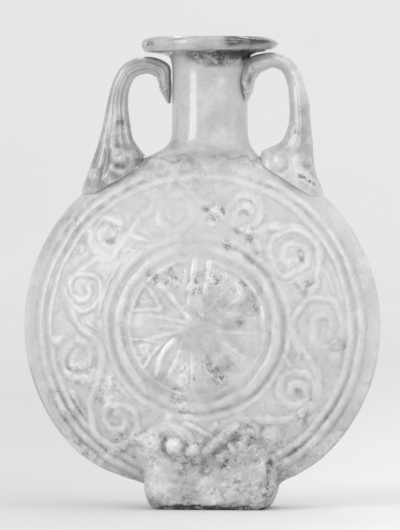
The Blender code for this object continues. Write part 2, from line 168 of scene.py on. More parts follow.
# Lumps and hollows pressed into each handle: x, z, radius, height towards the front
LEFT_LUMPS = [
    (-0.0348, 0.1572, 0.0070, 0.0036), (-0.0378, 0.1544, 0.0024, -0.0009),
    (-0.0352, 0.1540, 0.0020, -0.0010), (-0.0382, 0.1592, 0.0022, 0.0010),
    (-0.0362, 0.1735, 0.0020, -0.0009), (-0.0480, 0.1500, 0.0038, 0.0012),
    (-0.0400, 0.1625, 0.0030, 0.0008),
]
RIGHT_LUMPS = [
    (0.0405, 0.1700, 0.0028, 0.0006), (0.0448, 0.1492, 0.0012, -0.0012),
    (0.0465, 0.1486, 0.0011, -0.0015), (0.0488, 0.1470, 0.0010, -0.0015),
    (0.0508, 0.1458, 0.0010, -0.0012), (0.0350, 0.1560, 0.0052, 0.0012),
    (0.0480, 0.1535, 0.0026, -0.0008),
]

# Folded loops of glass on each handle: x, z, radius, half width, height, direction of the opening
LEFT_CURLS = [
    (-0.0356, 0.1560, 0.0050, 0.0020, 0.0013, 170),
    (-0.0166, 0.1893, 0.0014, 0.0008, 0.0006, 90),
]
RIGHT_CURLS = [
    (0.0205, 0.1893, 0.0026, 0.0010, 0.0007, 60),
    (0.0352, 0.1550, 0.0056, 0.0018, 0.0004, 120),
]

# Weathered places of each handle, some of them painted highlight and shade as marked: x, z, radius, tone
# from dark to light, and how pitted they are
LEFT_STAINS = [
    # The dark spots near height 0.155 from x -0.0394 to -0.0302 paint shade in and beside the knob's
    # hollows
    (-0.0360, 0.1735, 0.0036, -0.60, 0.8), (-0.0394, 0.1556, 0.0015, -0.50, 0.3),
    (-0.0381, 0.1541, 0.0016, -0.60, 0.3), (-0.0360, 0.1537, 0.0017, -0.55, 0.3),
    (-0.0373, 0.1562, 0.0016, 0.30, 0.3), (-0.0383, 0.1594, 0.0026, 0.40, 0.5),
    # The light spot at x -0.0488, height 0.1503 is a painted highlight
    (-0.0488, 0.1503, 0.0030, 0.60, 0.6), (-0.0440, 0.1580, 0.0050, -0.15, 0.3),
    (-0.0302, 0.1555, 0.0030, -0.50, 0.3), (-0.0410, 0.1655, 0.0040, 0.20, 0.5),
    (-0.0350, 0.1680, 0.0040, 0.15, 0.4), (-0.0165, 0.1890, 0.0050, 0.20, 0.3),
]
RIGHT_STAINS = [
    (0.0205, 0.1890, 0.0058, -0.60, 1.0), (0.0480, 0.1535, 0.0030, -0.60, 0.6),
    # The dark patches at x 0.0485, 0.0468 and 0.0462, heights 0.160 to 0.178, are partly painted shade
    # down the strap's right side, partly its darker glass there
    (0.0485, 0.1600, 0.0056, -0.60, 0.2), (0.0468, 0.1690, 0.0044, -0.50, 0.1),
    (0.0462, 0.1780, 0.0036, -0.40, 0.1), (0.0465, 0.1482, 0.0044, -0.25, 1.0),
    (0.0440, 0.1510, 0.0060, -0.20, 0.6), (0.0400, 0.1570, 0.0060, 0.10, 0.5),
    (0.0350, 0.1520, 0.0030, -0.30, 0.6), (0.0440, 0.1705, 0.0030, -0.20, 0.5),
    (0.0240, 0.1985, 0.0050, -0.50, 0.7),
]

# Rings on the front face: radius, half width, height
FRONT_RINGS = [
    (0.0721, 0.0024, 0.0012), (0.0676, 0.0021, 0.0010), (0.0412, 0.0016, 0.0004),
    (0.0386, 0.0014, -0.0005), (0.0357, 0.0030, 0.0014), (0.0303, 0.0009, 0.0004),
]
# Worn stretches of the front rings: angle, width in degrees, loss of the inner and of the outer rings
RING_LOSSES = [
    (98, 30, 0.70, 0.50),
    (262, 22, 0.65, 0.0),
]
RING_LOSS_BORDER = 0.050
BACK_RINGS = [
    (0.0720, 0.0024, 0.0012),
    (0.0357, 0.0030, 0.0012),
]

# Vine scroll: angle in degrees, distance from the disc's centre, radius, gap to the stem,
# stretch along the scroll, strength of the relief
VOLUTES = [
    (-69, 0.0546, 0.0058, 0.0048, 1.00, 0.55),
    (-33, 0.0520, 0.0072, 0.0023, 1.00, 1.00),
    (0, 0.0573, 0.0074, 0.0069, 1.30, 1.00),
    (38, 0.0516, 0.0085, 0.0044, 1.00, 1.05),
    (68, 0.0554, 0.0072, 0.0000, 1.00, 0.95),
    (101, 0.0525, 0.0079, 0.0000, 1.00, 0.45),
    (135, 0.0594, 0.0080, 0.0019, 1.00, 0.60),
    (163, 0.0541, 0.0078, 0.0007, 1.05, 0.85),
    (195, 0.0565, 0.0077, 0.0050, 1.00, 1.00),
    (229, 0.0545, 0.0063, 0.0067, 1.10, 1.00),
    (257, 0.0527, 0.0078, 0.0000, 1.00, 0.50),
]
VOLUTE_TURNS = 1.75
VOLUTE_EARLY_TURNS = 0.10
VOLUTE_JOINING_TURNS = (0.0, 0.45)
VOLUTE_CURLING_TURNS = (0.80, 1.40)
VOLUTE_EYE = 0.36
VOLUTE_TAPER = 0.15
VOLUTE_STEPS = 64
STEM_STEPS = 16
STEM_HALF_WIDTH = 0.0026
TENDRIL_HALF_WIDTH = STEM_HALF_WIDTH * 0.95
STEM_HEIGHT = 0.0008

# Ridges along a path: reach of the search in half widths, and least squared length of a step
PATH_MARGIN = 1.05
SHORTEST_SQUARED = 1e-12

# Wear of the relief: flat share of a ridge's top, wandering of the lines, and loss of height,
# which starts above the crisp relief at the bottom
RIDGE_TOP = 0.12
RELIEF_WARP = 0.00065
RING_WARP_SHARE = 0.4
FINE_WARP = 0.00030
RELIEF_FADE = 0.45
FINE_FADE = 0.30
RING_FADE = 0.38
FADED_ABOVE = (-0.048, -0.038)
COARSE_LOSS = (-0.6, 1.2)
FINE_LOSS = (-0.4, 1.4)
CREST_LOSS = (-1.2, 0.4)

# Unevenness by use: size of its lumps and seed
RIPPLES = {
    "swell": (0.016, 11), "fine swell": (0.005, 12), "borders": (0.012, 21), "ragged": (0.0035, 22),
    "streaks": (0.007, 23), "grooves": (0.009, 24), "crest path": (0.0040, 25), "crest loss": (0.0045, 26),
    "crumble": (0.0024, 31), "handle pits": (0.008, 41), "handle tone": (0.010, 42),
    "handle bend": (0.009, 43), "handle ragged": (0.0030, 44), "warp across": (0.007, 51),
    "warp upright": (0.007, 52), "relief loss": (0.014, 53), "fine across": (0.0022, 55),
    "fine upright": (0.0022, 56), "fine loss": (0.0040, 57), "ring loss": (0.020, 58),
}
RIPPLE_WAVES = 14
RIPPLE_SPREAD = (0.6, 1.4)
SWELL_HEIGHT = 0.00022
FINE_SWELL_HEIGHT = 0.00005

# Leaves of the scroll: angle and radius of each end, half width, height
LEAVES = [
    (-86, 0.0562, -70, 0.0462, 0.0038, 0.0024), (255, 0.0640, 284, 0.0600, 0.0015, 0.0010),
    (141, 0.0448, 174, 0.0448, 0.0014, 0.0010), (-17, 0.0397, -23, 0.0455, 0.0013, 0.0009),
    (-11, 0.0465, -18, 0.0467, 0.0013, 0.0009), (57, 0.0479, 50, 0.0440, 0.0013, 0.0010),
    (28, 0.0612, 15, 0.0620, 0.0012, 0.0009), (60, 0.0447, 55, 0.0404, 0.0011, 0.0008),
    (178, 0.0494, 182, 0.0450, 0.0014, 0.0010), (207, 0.0653, 218, 0.0655, 0.0013, 0.0009),
    (-48, 0.0430, -51, 0.0469, 0.0013, 0.0009), (262, 0.0432, 278, 0.0491, 0.0016, 0.0010),
    (119, 0.0440, 127, 0.0520, 0.0015, 0.0007), (126, 0.0430, 135, 0.0470, 0.0013, 0.0006),
    (214, 0.0440, 226, 0.0440, 0.0014, 0.0009),
]
BERRIES = [
    (-0.0531, 0.0347, 0.0029, 0.0012), (-0.0640, -0.0060, 0.0029, 0.0012),
    (0.0610, -0.0140, 0.0032, 0.0012), (0.0081, 0.0540, 0.0026, 0.0010),
    (0.0322, -0.0488, 0.0050, 0.0013), (-0.0110, -0.0527, 0.0042, 0.0024),
    (-0.0032, -0.0552, 0.0036, 0.0020), (-0.0212, -0.0527, 0.0044, 0.0012),
    (0.0233, -0.0473, 0.0024, 0.0011), (0.0086, -0.0432, 0.0020, 0.0009),
]

# Worn petals of the rosette: angle, inner and outer radius, height of their two ridges
WORN_PETALS = [
    (2, 0.0105, 0.0265, 0.00022),
    (43, 0.0090, 0.0250, 0.00030),
    (273, 0.0120, 0.0270, 0.00035),
    (320, 0.0110, 0.0255, 0.00025),
]
WORN_PETAL_TURNS = (11.0, 9.0, 7.5)
WORN_PETAL_HALF_WIDTH = 0.0012

# Crisp ridges of the rosette: angle and radius of the inner end, the middle and the outer end,
# half width, height
CRISP_RIDGES = [
    ((106, 0.0111), (95, 0.0208), (91, 0.0302), 0.0016, 0.00055),
    ((74, 0.0156), (77, 0.0227), (79, 0.0298), 0.0016, 0.00055),
    ((136, 0.0055), (129, 0.0158), (131, 0.0251), 0.0018, 0.00070),
    ((155, 0.0046), (162, 0.0127), (166, 0.0213), 0.0013, 0.00040),
    ((180, 0.0040), (179, 0.0120), (178, 0.0170), 0.0012, 0.00035),
    ((192, 0.0038), (193, 0.0118), (194, 0.0205), 0.0014, 0.00050),
    ((210, 0.0110), (218, 0.0194), (229, 0.0278), 0.0018, 0.00070),
    ((237, 0.0128), (240, 0.0196), (240, 0.0252), 0.0016, 0.00060),
    ((1, 0.0293), (9, 0.0295), (17, 0.0303), 0.0015, 0.00055),
]
RIDGE_STRENGTHS = (0.8, 1.0, 0.7)
RIDGE_STEPS = 4
# Lightening of the rosette's crests, a painted highlight
CREST_PAINTED_HIGHLIGHT = 0.50
CREST_HEIGHT = 0.0006
CREST_WANDER = 0.0006
ARC_STEPS = 8
ARC_SHARES = (0.0, 0.4, 1.0)
LEAF_STRENGTHS = (0.5, 1.0, 0.4)

# Spandrels between the petals: angles of the outer corners and of the inner one, height
SPANDRELS = [
    (140, 166, 153, 0.00085), (190, 216, 203, 0.00070), (57, 75, 66, 0.00025), (98, 122, 110, 0.00030),
    (240, 262, 251, 0.00025), (288, 308, 298, 0.00015),
]
SPANDREL_OUTER_RADIUS = 0.0300
SPANDREL_INNER_RADIUS = 0.0168
SPANDREL_HALF_WIDTH = 0.0012
SPANDREL_INSET = 0.0032
SPANDREL_INSET_SHARE = 0.45
SPANDREL_CORNER_INSET = 1.6
SPANDREL_POINT_INSET = 1.8

# Plainer back
BACK_TURN_DEGREES = 2.5
BACK_PETALS = 8
BACK_PETAL_INNER = 0.0070
BACK_PETAL_OUTER = 0.0285
BACK_PETAL_STRENGTHS = (0.6, 1.0, 0.6)
BACK_WAVES = 8
BACK_WAVE_MIDDLE = 0.0540
BACK_WAVE_SWING = 0.0085
BACK_WAVE_STEPS = 180

# Loss of the disc's outline beside the foot: angle in degrees, width of the dip, depth
OUTLINE_LOSSES = [(250, 16, 0.0046), (298, 10, 0.0014)]
OUTLINE_LOSS_START = 0.0600

# Weathered places on the front: x and height from the disc's centre, radius,
# tone from dark to light, and how pitted they are
STAINS = [
    (-0.0200, 0.0220, 0.0035, -0.35, 1.0), (-0.0108, 0.0203, 0.0040, -0.40, 1.0),
    (-0.0011, 0.0173, 0.0036, -0.35, 1.0), (0.0066, 0.0225, 0.0045, -0.35, 1.0),
    (0.0121, 0.0218, 0.0042, -0.30, 1.0), (0.0083, 0.0128, 0.0062, -0.40, 0.3),
    (0.0200, 0.0170, 0.0040, 0.25, 0.9), (0.0234, 0.0100, 0.0060, -0.60, 0.5),
    (0.0159, 0.0025, 0.0032, -0.45, 0.3), (0.0024, 0.0054, 0.0032, -0.25, 0.7),
    (0.0045, 0.0005, 0.0140, -0.40, 0.0), (0.0200, -0.0060, 0.0100, -0.10, 0.0),
    (-0.0052, -0.0215, 0.0080, 0.35, 1.0), (0.0090, -0.0207, 0.0052, -0.55, 1.0),
    (0.0124, -0.0150, 0.0055, -0.40, 0.3), (-0.0165, -0.0270, 0.0075, -0.45, 0.0),
    (0.0080, -0.0260, 0.0110, -0.40, 0.0), (-0.0286, 0.0070, 0.0060, 0.35, 0.4),
    (-0.0254, -0.0107, 0.0062, 0.35, 0.5), (0.0140, 0.0360, 0.0030, -0.30, 1.0),
    (0.0243, 0.0315, 0.0038, -0.35, 0.6), (0.0225, 0.0420, 0.0045, -0.32, 0.8),
    (0.0360, 0.0180, 0.0038, -0.45, 0.7), (0.0480, 0.0190, 0.0050, -0.45, 0.6),
    (0.0477, 0.0310, 0.0030, -0.45, 0.6), (0.0620, -0.0068, 0.0036, -0.18, 0.6),
    (0.0486, -0.0288, 0.0036, -0.35, 0.7), (0.0455, -0.0415, 0.0050, -0.24, 0.7),
    (0.0205, 0.0535, 0.0045, -0.15, 0.6), (0.0075, 0.0520, 0.0040, -0.30, 0.8),
    (-0.0400, 0.0432, 0.0045, -0.38, 0.7), (-0.0580, 0.0470, 0.0055, -0.35, 0.4),
    (-0.0504, -0.0189, 0.0062, 0.10, 0.75), (-0.0414, -0.0283, 0.0085, 0.30, 0.65),
    (-0.0065, -0.0370, 0.0085, 0.28, 1.0), (-0.0612, -0.0374, 0.0080, -0.35, 0.6),
    (0.0122, -0.0484, 0.0052, -0.35, 0.5), (0.0126, -0.0610, 0.0052, -0.40, 0.9),
    (-0.0158, -0.0500, 0.0026, -0.70, 0.4), (-0.0162, -0.0555, 0.0026, -0.70, 0.4),
    (-0.0112, -0.0580, 0.0024, -0.60, 0.4), (-0.0110, -0.0522, 0.0030, 0.45, 0.3),
    (-0.0032, -0.0552, 0.0024, 0.40, 0.3), (0.0066, -0.0480, 0.0040, 0.35, 0.3),
    (0.0295, -0.0535, 0.0060, -0.30, 0.5), (0.0450, -0.0560, 0.0090, 0.00, 0.4),
    (-0.0560, -0.0200, 0.0070, 0.20, 0.9), (-0.0225, -0.0535, 0.0070, 0.45, 0.6),
    (-0.0100, -0.0440, 0.0085, 0.35, 0.5), (0.0200, -0.0500, 0.0065, -0.15, 0.6),
    (0.0030, -0.0620, 0.0050, -0.40, 0.9), (-0.0060, -0.0615, 0.0040, -0.45, 0.7),
    (-0.0200, -0.0600, 0.0050, 0.35, 0.6), (-0.0215, -0.0700, 0.0060, 0.30, 0.2),
    (0.0255, -0.0700, 0.0055, -0.30, 0.0), (0.0070, -0.0740, 0.0060, 0.30, 0.8),
    (0.0165, -0.0690, 0.0035, -0.25, 0.8),
]
STAIN_STRENGTH = 0.75
STAIN_BORDER = (1.25, 0.45)
HANDLE_STAIN_BORDER = (1.20, 0.50)
STAIN_RAGGEDNESS = 0.30
STAIN_UNEVENNESS = 0.25

# Handles: change of tone, and pits towards the foot of the strap with their wandering border
HANDLE_TONE_CHANGE = 0.20
HANDLE_PITS = 0.45
HANDLE_FOOT = (0.170, 0.150)
HANDLE_FOOT_WANDER = 0.004

# Limits shared by the zones. Each limit has a place, where it starts, where it is full,
# how far its border wanders coarsely and finely, and its least share
IN_FRONT = ("depth", 0.002, -0.002)
ON_DISC = ("height", 0.1620, 0.1570, 0.002)
LOW = ("height", 0.046, 0.026, 0.005)
OUTSIDE_MEDALLION = ("radius", 0.0320, 0.03201)
FLANGE = ("radius", 0.0755, 0.0775)
ON_RIM = ("height", 0.2052, 0.20521)
# Zones of the vessel: darkness, pitting, and the limits that hold together. Most are weathered places, low
# is darker towards the bottom, and some paint shade and shadow, as marked
ZONES = {
    "low": (0.12, 0.0, [LOW, OUTSIDE_MEDALLION]),
    "low pits": (0.0, 0.70, [LOW, OUTSIDE_MEDALLION, ("height", 0.016, 0.022, 0.003, 0.0, 0.4)]),
    "foot": (0.36, 0.0, [("height", 0.020, 0.012)]),
    # Painted contact shadow along the foot's lowest edge, with some pits
    "painted contact shadow": (2.2, 0.8, [
        ("height", 0.0025, 0.0012, 0.0, 0.0006), ("across", -0.018, -0.01799), ("depth", 0.010, 0.00999)]),
    "shoulder pits": (0.0, 0.38, [("height", 0.141, 0.150, 0.004), ON_DISC]),
    "pale shoulder": (-0.07, 0.0, [("height", 0.115, 0.145), ON_DISC]),
    "scattered pits": (0.0, 0.22, [("uneven", 0.1, 0.9), ON_DISC]),
    "neck": (0.15, 0.0, [("height", 0.1570, 0.1620, 0.002)]),
    "upper flange": (0.32, 0.0, [
        FLANGE, ON_DISC, IN_FRONT, ("upright", 0.015, 0.040), ("across", 0.0, -0.00001)]),
    "lower flange": (0.14, 0.0, [FLANGE, ON_DISC, IN_FRONT, ("upright", -0.020, -0.050)]),
    # Painted shade: a thin dark line along the disc's lower edge
    "painted edge shade": (0.50, 0.0, [("radius", 0.0793, 0.0802), ("upright", 0.010, -0.030)]),
    "neck smudge": (0.28, 0.0, [("from neck smudge", 0.0080, 0.0030, 0.0, 0.0012), IN_FRONT]),
    "shoulder smudge": (0.28, 0.0, [("from shoulder smudge", 0.0045, 0.0015, 0.0, 0.0010), IN_FRONT]),
    # Painted shadow under the rim, together with stain and pits
    "under rim": (0.78, 0.50, [
        ("under rim", 0.0, 0.30, 0.0, 0.10), ("height", 0.2052, 0.20519), IN_FRONT]),
    # Painted shadow under the right side of the rim, where it meets the neck
    "painted throat shadow": (1.20, 0.0, [
        ("across", 0.006, 0.018, 0.0, 0.001), ("height", 0.2015, 0.20151), ("height", 0.2054, 0.20539),
        IN_FRONT]),
    "right lip": (1.70, 0.0, [
        ("across", 0.010, 0.019, 0.0, 0.0012), ("across", 0.033, 0.027, 0.0, 0.0, 0.55), ON_RIM,
        ("height", 0.2062, 0.2088, 0.0, 0.0, 0.4), ("depth", 0.006, -0.008),
        ("from neck", 0.0235, 0.0285, 0.0, 0.0008), ("streaks", -0.7, 0.7, 0.0, 0.0, 0.8)]),
    "rim": (0.55, 0.0, [("height", 0.2040, 0.20401), ("streaks", -0.7, 0.7, 0.0, 0.0, 0.4)]),
}
# Pits of the foot, which change with the coarse unevenness
FOOT_ZONE = [("height", 0.030, 0.012, 0.004)]
FOOT_PITS = 0.42
FOOT_PITS_CHANGE = 0.16
# Smudges: x and height
NECK_SMUDGE = (0.0075, 0.1735)
NECK_SMUDGE_SQUASH = 1.2
SHOULDER_SMUDGE = (-0.0100, 0.1635)
# Dark patch under the rim, painted shadow and stain: middle x and height, half width, half height
UNDER_RIM = (0.0105, 0.2055, 0.0195, 0.0082)
STREAK_STRETCH = (0.6, 1.0, 5.0)
POLISHED_MEDALLION = [("radius", 0.033, 0.028), IN_FRONT]
MEDALLION_POLISH = 0.5

# Painted shade and dirt in the grooves between the outer rings, with its zones at the lower right, lower
# left and upper left
GROOVE_RADII = (0.0746, 0.0698)
GROOVE_REACH = 0.0010
RIGHT_GROOVES = [("upright", -0.010, -0.040), ("upright", -0.056, -0.046, 0.0, 0.0, 0.3),
                 ("across", 0.0, 0.00001), IN_FRONT]
LEFT_GROOVES = [("upright", -0.042, -0.056), ("across", 0.00001, 0.0), IN_FRONT]
UPPER_GROOVES = [("upright", 0.020, 0.045), ("across", 0.010, -0.020), ("ragged", -0.5, 0.6)]
GROOVE_DARKNESS = (0.50, 0.30, 0.40)
GROOVE_EVENNESS = 0.75

# Crease between neck and disc, and pits at the rim's left end: middle x and height, width, height
CREASE_ZONE = [
    ("uneven", -0.9, 0.5), ("across", 0.030, 0.02999), ("across", -0.030, -0.02999), IN_FRONT]
CREASE_Z = 0.1572
CREASE_REACH = 0.0008
CREASE_WANDER = 0.0018
# The dark line along the crease is painted shade and dirt
CREASE_DARKNESS = 0.75
RIM_PITS = (-0.0240, 0.2079, 0.0034, 0.0012)
RIM_PITS_ZONE = [("ragged", -0.5, 0.4, 0.0, 0.0, 0.4)]
RIM_PITS_DARKNESS = 1.5
# Painted shade in the upright groove beside the foot's right front corner
CORNER_GROOVE_PAINTED_SHADE = 0.70

# Reaches at which hollows and ridges are told apart: rounds of evening out, full depth
WEAR_REACHES = [(8, 0.00012), (40, 0.00040)]

# Facets of the fine vessel
AROUND = 480
FRONT_BANDS = [(0.0300, 27), (0.0470, 28), (0.0640, 22), (0.0797, 27)]
BACK_BANDS = [(0.0300, 9), (0.0640, 16), (0.0797, 14)]
EDGE_STEPS = 6
NECK_AROUND = 112
NECK_STEPS = 5
BORE_AROUND = 72
FOOT_CORNER_STEPS = 9
FOOT_SIDE_STEPS = 16
FOOT_STEPS = 4
BORE_STEPS = 3

# Hollow inside the disc: innermost and outermost radius, number of rings, least half depth
CAVITY_INNER = 0.004
CAVITY_OUTER = 0.0745
CAVITY_STEPS = 16
CAVITY_LEAST = 0.0004

# Softening where the disc meets the neck and the foot, and the heights where it comes and goes
JUNCTION_REACH = 0.0045
JUNCTION_ROUNDS = 90
NECK_JUNCTION = (0.1430, 0.1480, 0.1630, 0.1700)
FOOT_JUNCTION = (0.0030, 0.0070, 0.0290, 0.0340)

# Crumbled surface of the pitted places, and the groove beside the foot's right front corner
CRUMBLE_DEPTH = 0.00016
CRUMBLE_START = 0.004
CORNER_GROOVE_DEPTH = 0.0010
CORNER_GROOVE_X = 0.0314
CORNER_GROOVE_REACH = 0.0016
CORNER_GROOVE_HEIGHTS = (0.0070, 0.0110, 0.0200, 0.0250)
CORNER_GROOVE_BACK = -0.0070

# Patterns in glass and paper: scale, detail, roughness and distortion of the noise,
# the stretch of it that is used, and the values it is spread to
PATTERNS = {
    "cloudy": (70.0, 4.0, 0.55, 0.0, 0.30, 0.70, -1.0, 1.0),
    "mottled": (420.0, 4.0, 0.65, 0.0, 0.30, 0.70, -1.0, 1.0),
    "clustered": (230.0, 5.0, 0.65, 0.0, 0.44, 0.58, 0.0, 1.0),
    "flaked": (110.0, 6.0, 0.68, 0.3, 0.49, 0.515, -1.0, 1.0),
    "patchy": (180.0, 4.0, 0.60, 0.0, 0.36, 0.62, 0.25, 1.0),
    "torn": (340.0, 6.0, 0.72, 0.0, 0.44, 0.56, 0.25, 1.25),
    "paper": (3.0, 2.0, 0.55, 0.0, 0.30, 0.70, 0.795, 0.805),
}
SPECKS = (1000.0, 4.0, 0.75)
DARK_SPECKS = (0.48, 0.40)
PALE_SPECKS = (0.55, 0.62)
SPECK_RELIEF = (0.20, 1.80)
TORN_FULL = 0.8
# Ridge lightening, a painted highlight with wear, and hollow darkening, painted shade with dirt, both grow
# with pitting
RIDGE_HIGHLIGHT_AND_WEAR_BY_PITS = 0.5
HOLLOW_SHADE_AND_DIRT_BY_PITS = 1.6
MOTTLED_ROUGHNESS = 0.05
MOTTLED_RELIEF = 0.35
POLISHED_RELIEF = 0.45
BUMP_DEPTH = 0.00025
COAT_BUMP_SHARE = 0.35
DARKEST = 0.03
LIGHTEST = 0.93
GLASS_IOR = 1.5
COAT_IOR = 1.7

# Looks of the glass; raised lightens ridges as painted highlight and wear, hollow darkens hollows as
# painted shade and dirt
BODY_LOOK = {
    "tone": 0.61, "cloudy": 0.025, "mottled": 0.025, "flaked": 0.018, "film": 0.080, "raised": 0.09,
    "hollow": 0.13, "pits": 0.34, "flakes": 0.20, "stain_and_painted_light": 0.34, "roughness": 0.38, "polish": 0.28,
    "pitted_roughness": 0.30, "bump": 0.40, "coat": 0.36, "coat_roughness": 0.06, "through": 0.06,
}
LEFT_LOOK = {
    "tone": 0.40, "cloudy": 0.05, "mottled": 0.035, "flaked": 0.020, "film": 0.040, "raised": 0.17,
    "hollow": 0.12, "pits": 0.24, "flakes": 0.18, "stain_and_painted_light": 0.30, "roughness": 0.32, "polish": 0.10,
    "pitted_roughness": 0.24, "bump": 0.36, "coat": 0.55, "coat_roughness": 0.08, "through": 0.12,
}
RIGHT_LOOK = {
    **LEFT_LOOK, "tone": 0.59, "cloudy": 0.03, "mottled": 0.025, "flaked": 0.015, "film": 0.030,
    "raised": 0.12, "pits": 0.22, "flakes": 0.14, "stain_and_painted_light": 0.24, "roughness": 0.36, "bump": 0.30,
}

# Backdrop: half width, near end of the floor, wall, bend between them and top of the wall
PAPER_HALF_WIDTH = 4.5
PAPER_FRONT_Y = -6.0
PAPER_SPLITS_Y = (-1.0, 0.0)
PAPER_WALL_Y = 4.6
PAPER_BEND = 1.6
PAPER_BEND_STEPS = 16
PAPER_TOP = 4.5
PAPER_ROUGHNESS = 0.9
PAPER_SPECULAR = 0.1
# Painted light and shade on the floor: its change of tone from darker at the left to lighter at the right,
# and the depths where it fades in
FLOOR_TONES = (-0.12, 0.12, -0.045, 0.075)
FLOOR_DEPTHS = (2.0, 0.6)

# Soft lights: place, aim, width, height, power
WORLD_STRENGTH = 0.71
LIGHTS = {
    "key": ((-1.45, -1.35, 0.75), (0.0, 0.0, 0.10), 0.85, 1.5, 14.0),
    "side": ((1.3, -1.5, 0.7), (0.0, 0.0, 0.10), 0.9, 0.9, 6.0),
    "paper_light": ((1.0, 0.0, 2.4), (0.5, 0.8, 0.2), 1.6, 1.2, 10.0),
    "wall_light": ((0.2, 3.4, 3.4), (0.05, 4.0, 0.0), 3.0, 0.6, 27.0),
    "floor_light": ((1.3, -0.4, 0.8), (0.5, 0.1, 0.0), 0.4, 0.4, 1.2),
}

# Camera
CAMERA_AZIMUTH = 5.5
CAMERA_DISTANCE = 2.2
CAMERA_HEIGHT = 0.15
LOOK_AT = (-0.0009, 0.0, 0.1093)
FRAME_HEIGHT = 0.2385
SENSOR = 36.0
CLIP_START = 0.1
CLIP_END = 20.0


def polar(radius, degrees):
    angle = math.radians(degrees)
    return radius * math.cos(angle), radius * math.sin(angle)


def eased(low, high, values):
    """Smooth step from 0 at low to 1 at high."""
    share = np.clip((np.asarray(values, float) - low) / (high - low), 0.0, 1.0)
    return share * share * (3.0 - 2.0 * share)


def face_depth(radius):
    """Depth of the smooth lens face in front of the disc's middle plane."""
    return np.sqrt(FACE_RADIUS ** 2 - np.asarray(radius) ** 2) - (FACE_RADIUS - DISC_HALF_DEPTH)


def come_and_go(heights, values):
    """Smooth step up between the first two heights and down again between the last two."""
    start, full, fading, gone = heights
    return eased(start, full, values) * eased(gone, fading, values)


def zone_share(places, limits):
    """How far each point lies within all the limits of a zone, from 0 to 1."""
    share = 1.0
    for name, start, full, *more in limits:
        coarse, fine, least = (*more, 0.0, 0.0, 0.0)[:3]
        place = places[name] + coarse * places["uneven"] + fine * places["ragged"]
        share = share * (least + (1.0 - least) * eased(start, full, place))
    return share


def bell(offset, width):
    return np.exp(-(offset / width) ** 2)


def turned_away(degrees, middle):
    """How far each direction is turned away from a middle one, from 0 to 180 degrees."""
    return np.abs((degrees - middle + 180.0) % 360.0 - 180.0)


def ripples(points, use):
    """Smooth seeded unevenness between about -1 and 1, with lumps of the size set for its use."""
    size, seed = RIPPLES[use]
    random = np.random.default_rng(seed)
    total = np.zeros(len(points))
    for _ in range(RIPPLE_WAVES):
        direction = random.normal(size=3)
        direction *= random.uniform(*RIPPLE_SPREAD) * math.pi / size / np.linalg.norm(direction)
        total += np.sin(points @ direction + random.uniform(0.0, 2.0 * math.pi))
    return total / math.sqrt(RIPPLE_WAVES)


def smooth_rows(rows, steps):
    """Rows of a table with blended rows between them."""
    table = np.array(rows, float)
    table = np.vstack([table[:1], table, table[-1:]])
    blended = []
    for before, a, b, after in zip(table, table[1:], table[2:], table[3:]):
        slope_a = (b - before) / 2.0
        slope_b = (after - a) / 2.0
        cube = 2.0 * a - 2.0 * b + slope_a + slope_b
        square = 3.0 * b - 3.0 * a - 2.0 * slope_a - slope_b
        for step in range(steps):
            share = step / steps
            blended.append(((cube * share + square) * share + slope_a) * share + a)
    blended.append(table[-1])
    return blended


# Relief


def ridge(share):
    """Height across a ridge, from 1 at its middle to 0 at its foot."""
    return 1.0 - eased(RIDGE_TOP, 1.0, share)


def raise_rings(relief, radius, rings, kept=1.0):
    for middle, half_width, height in rings:
        relief += height * kept * ridge(np.abs(radius - middle) / half_width)


def raise_path(relief, u, v, path, half_width, height):
    """Raise a rounded ridge along a path of (u, v, strength)."""
    path = np.asarray(path, float)
    reach = half_width * PATH_MARGIN
    low = path[:, :2].min(axis=0) - reach
    high = path[:, :2].max(axis=0) + reach
    near = np.nonzero((u > low[0]) & (u < high[0]) & (v > low[1]) & (v < high[1]))[0]
    if len(near) == 0:
        return
    best = np.zeros(len(near))
    near_u = u[near]
    near_v = v[near]
    for start, end in zip(path, path[1:]):
        along = end[:2] - start[:2]
        length = max(along @ along, SHORTEST_SQUARED)
        offset_u = near_u - start[0]
        offset_v = near_v - start[1]
        share = np.clip((offset_u * along[0] + offset_v * along[1]) / length, 0.0, 1.0)
        distance = np.hypot(offset_u - share * along[0], offset_v - share * along[1])
        strength = start[2] + (end[2] - start[2]) * share
        best = np.maximum(best, ridge(distance / half_width) * strength * height)
    relief[near] = np.maximum(relief[near], best)


def stem_radius_at(index):
    _, distance, radius, gap, _, _ = VOLUTES[index]
    side = 1.0 if index % 2 else -1.0
    return distance + side * (radius + gap)


def stem_path():
    """The stem swings out round every second volute and in round the others."""
    path = []
    for index in range(len(VOLUTES) - 1):
        start_angle, *_, start_strength = VOLUTES[index]
        end_angle, *_, end_strength = VOLUTES[index + 1]
        inner, outer = stem_radius_at(index), stem_radius_at(index + 1)
        for step in range(STEM_STEPS):
            share = step / STEM_STEPS
            swing = (1.0 - math.cos(math.pi * share)) / 2.0
            angle = start_angle + (end_angle - start_angle) * share
            strength = start_strength + (end_strength - start_strength) * share
            path.append((*polar(inner + (outer - inner) * swing, angle), strength))
    return path


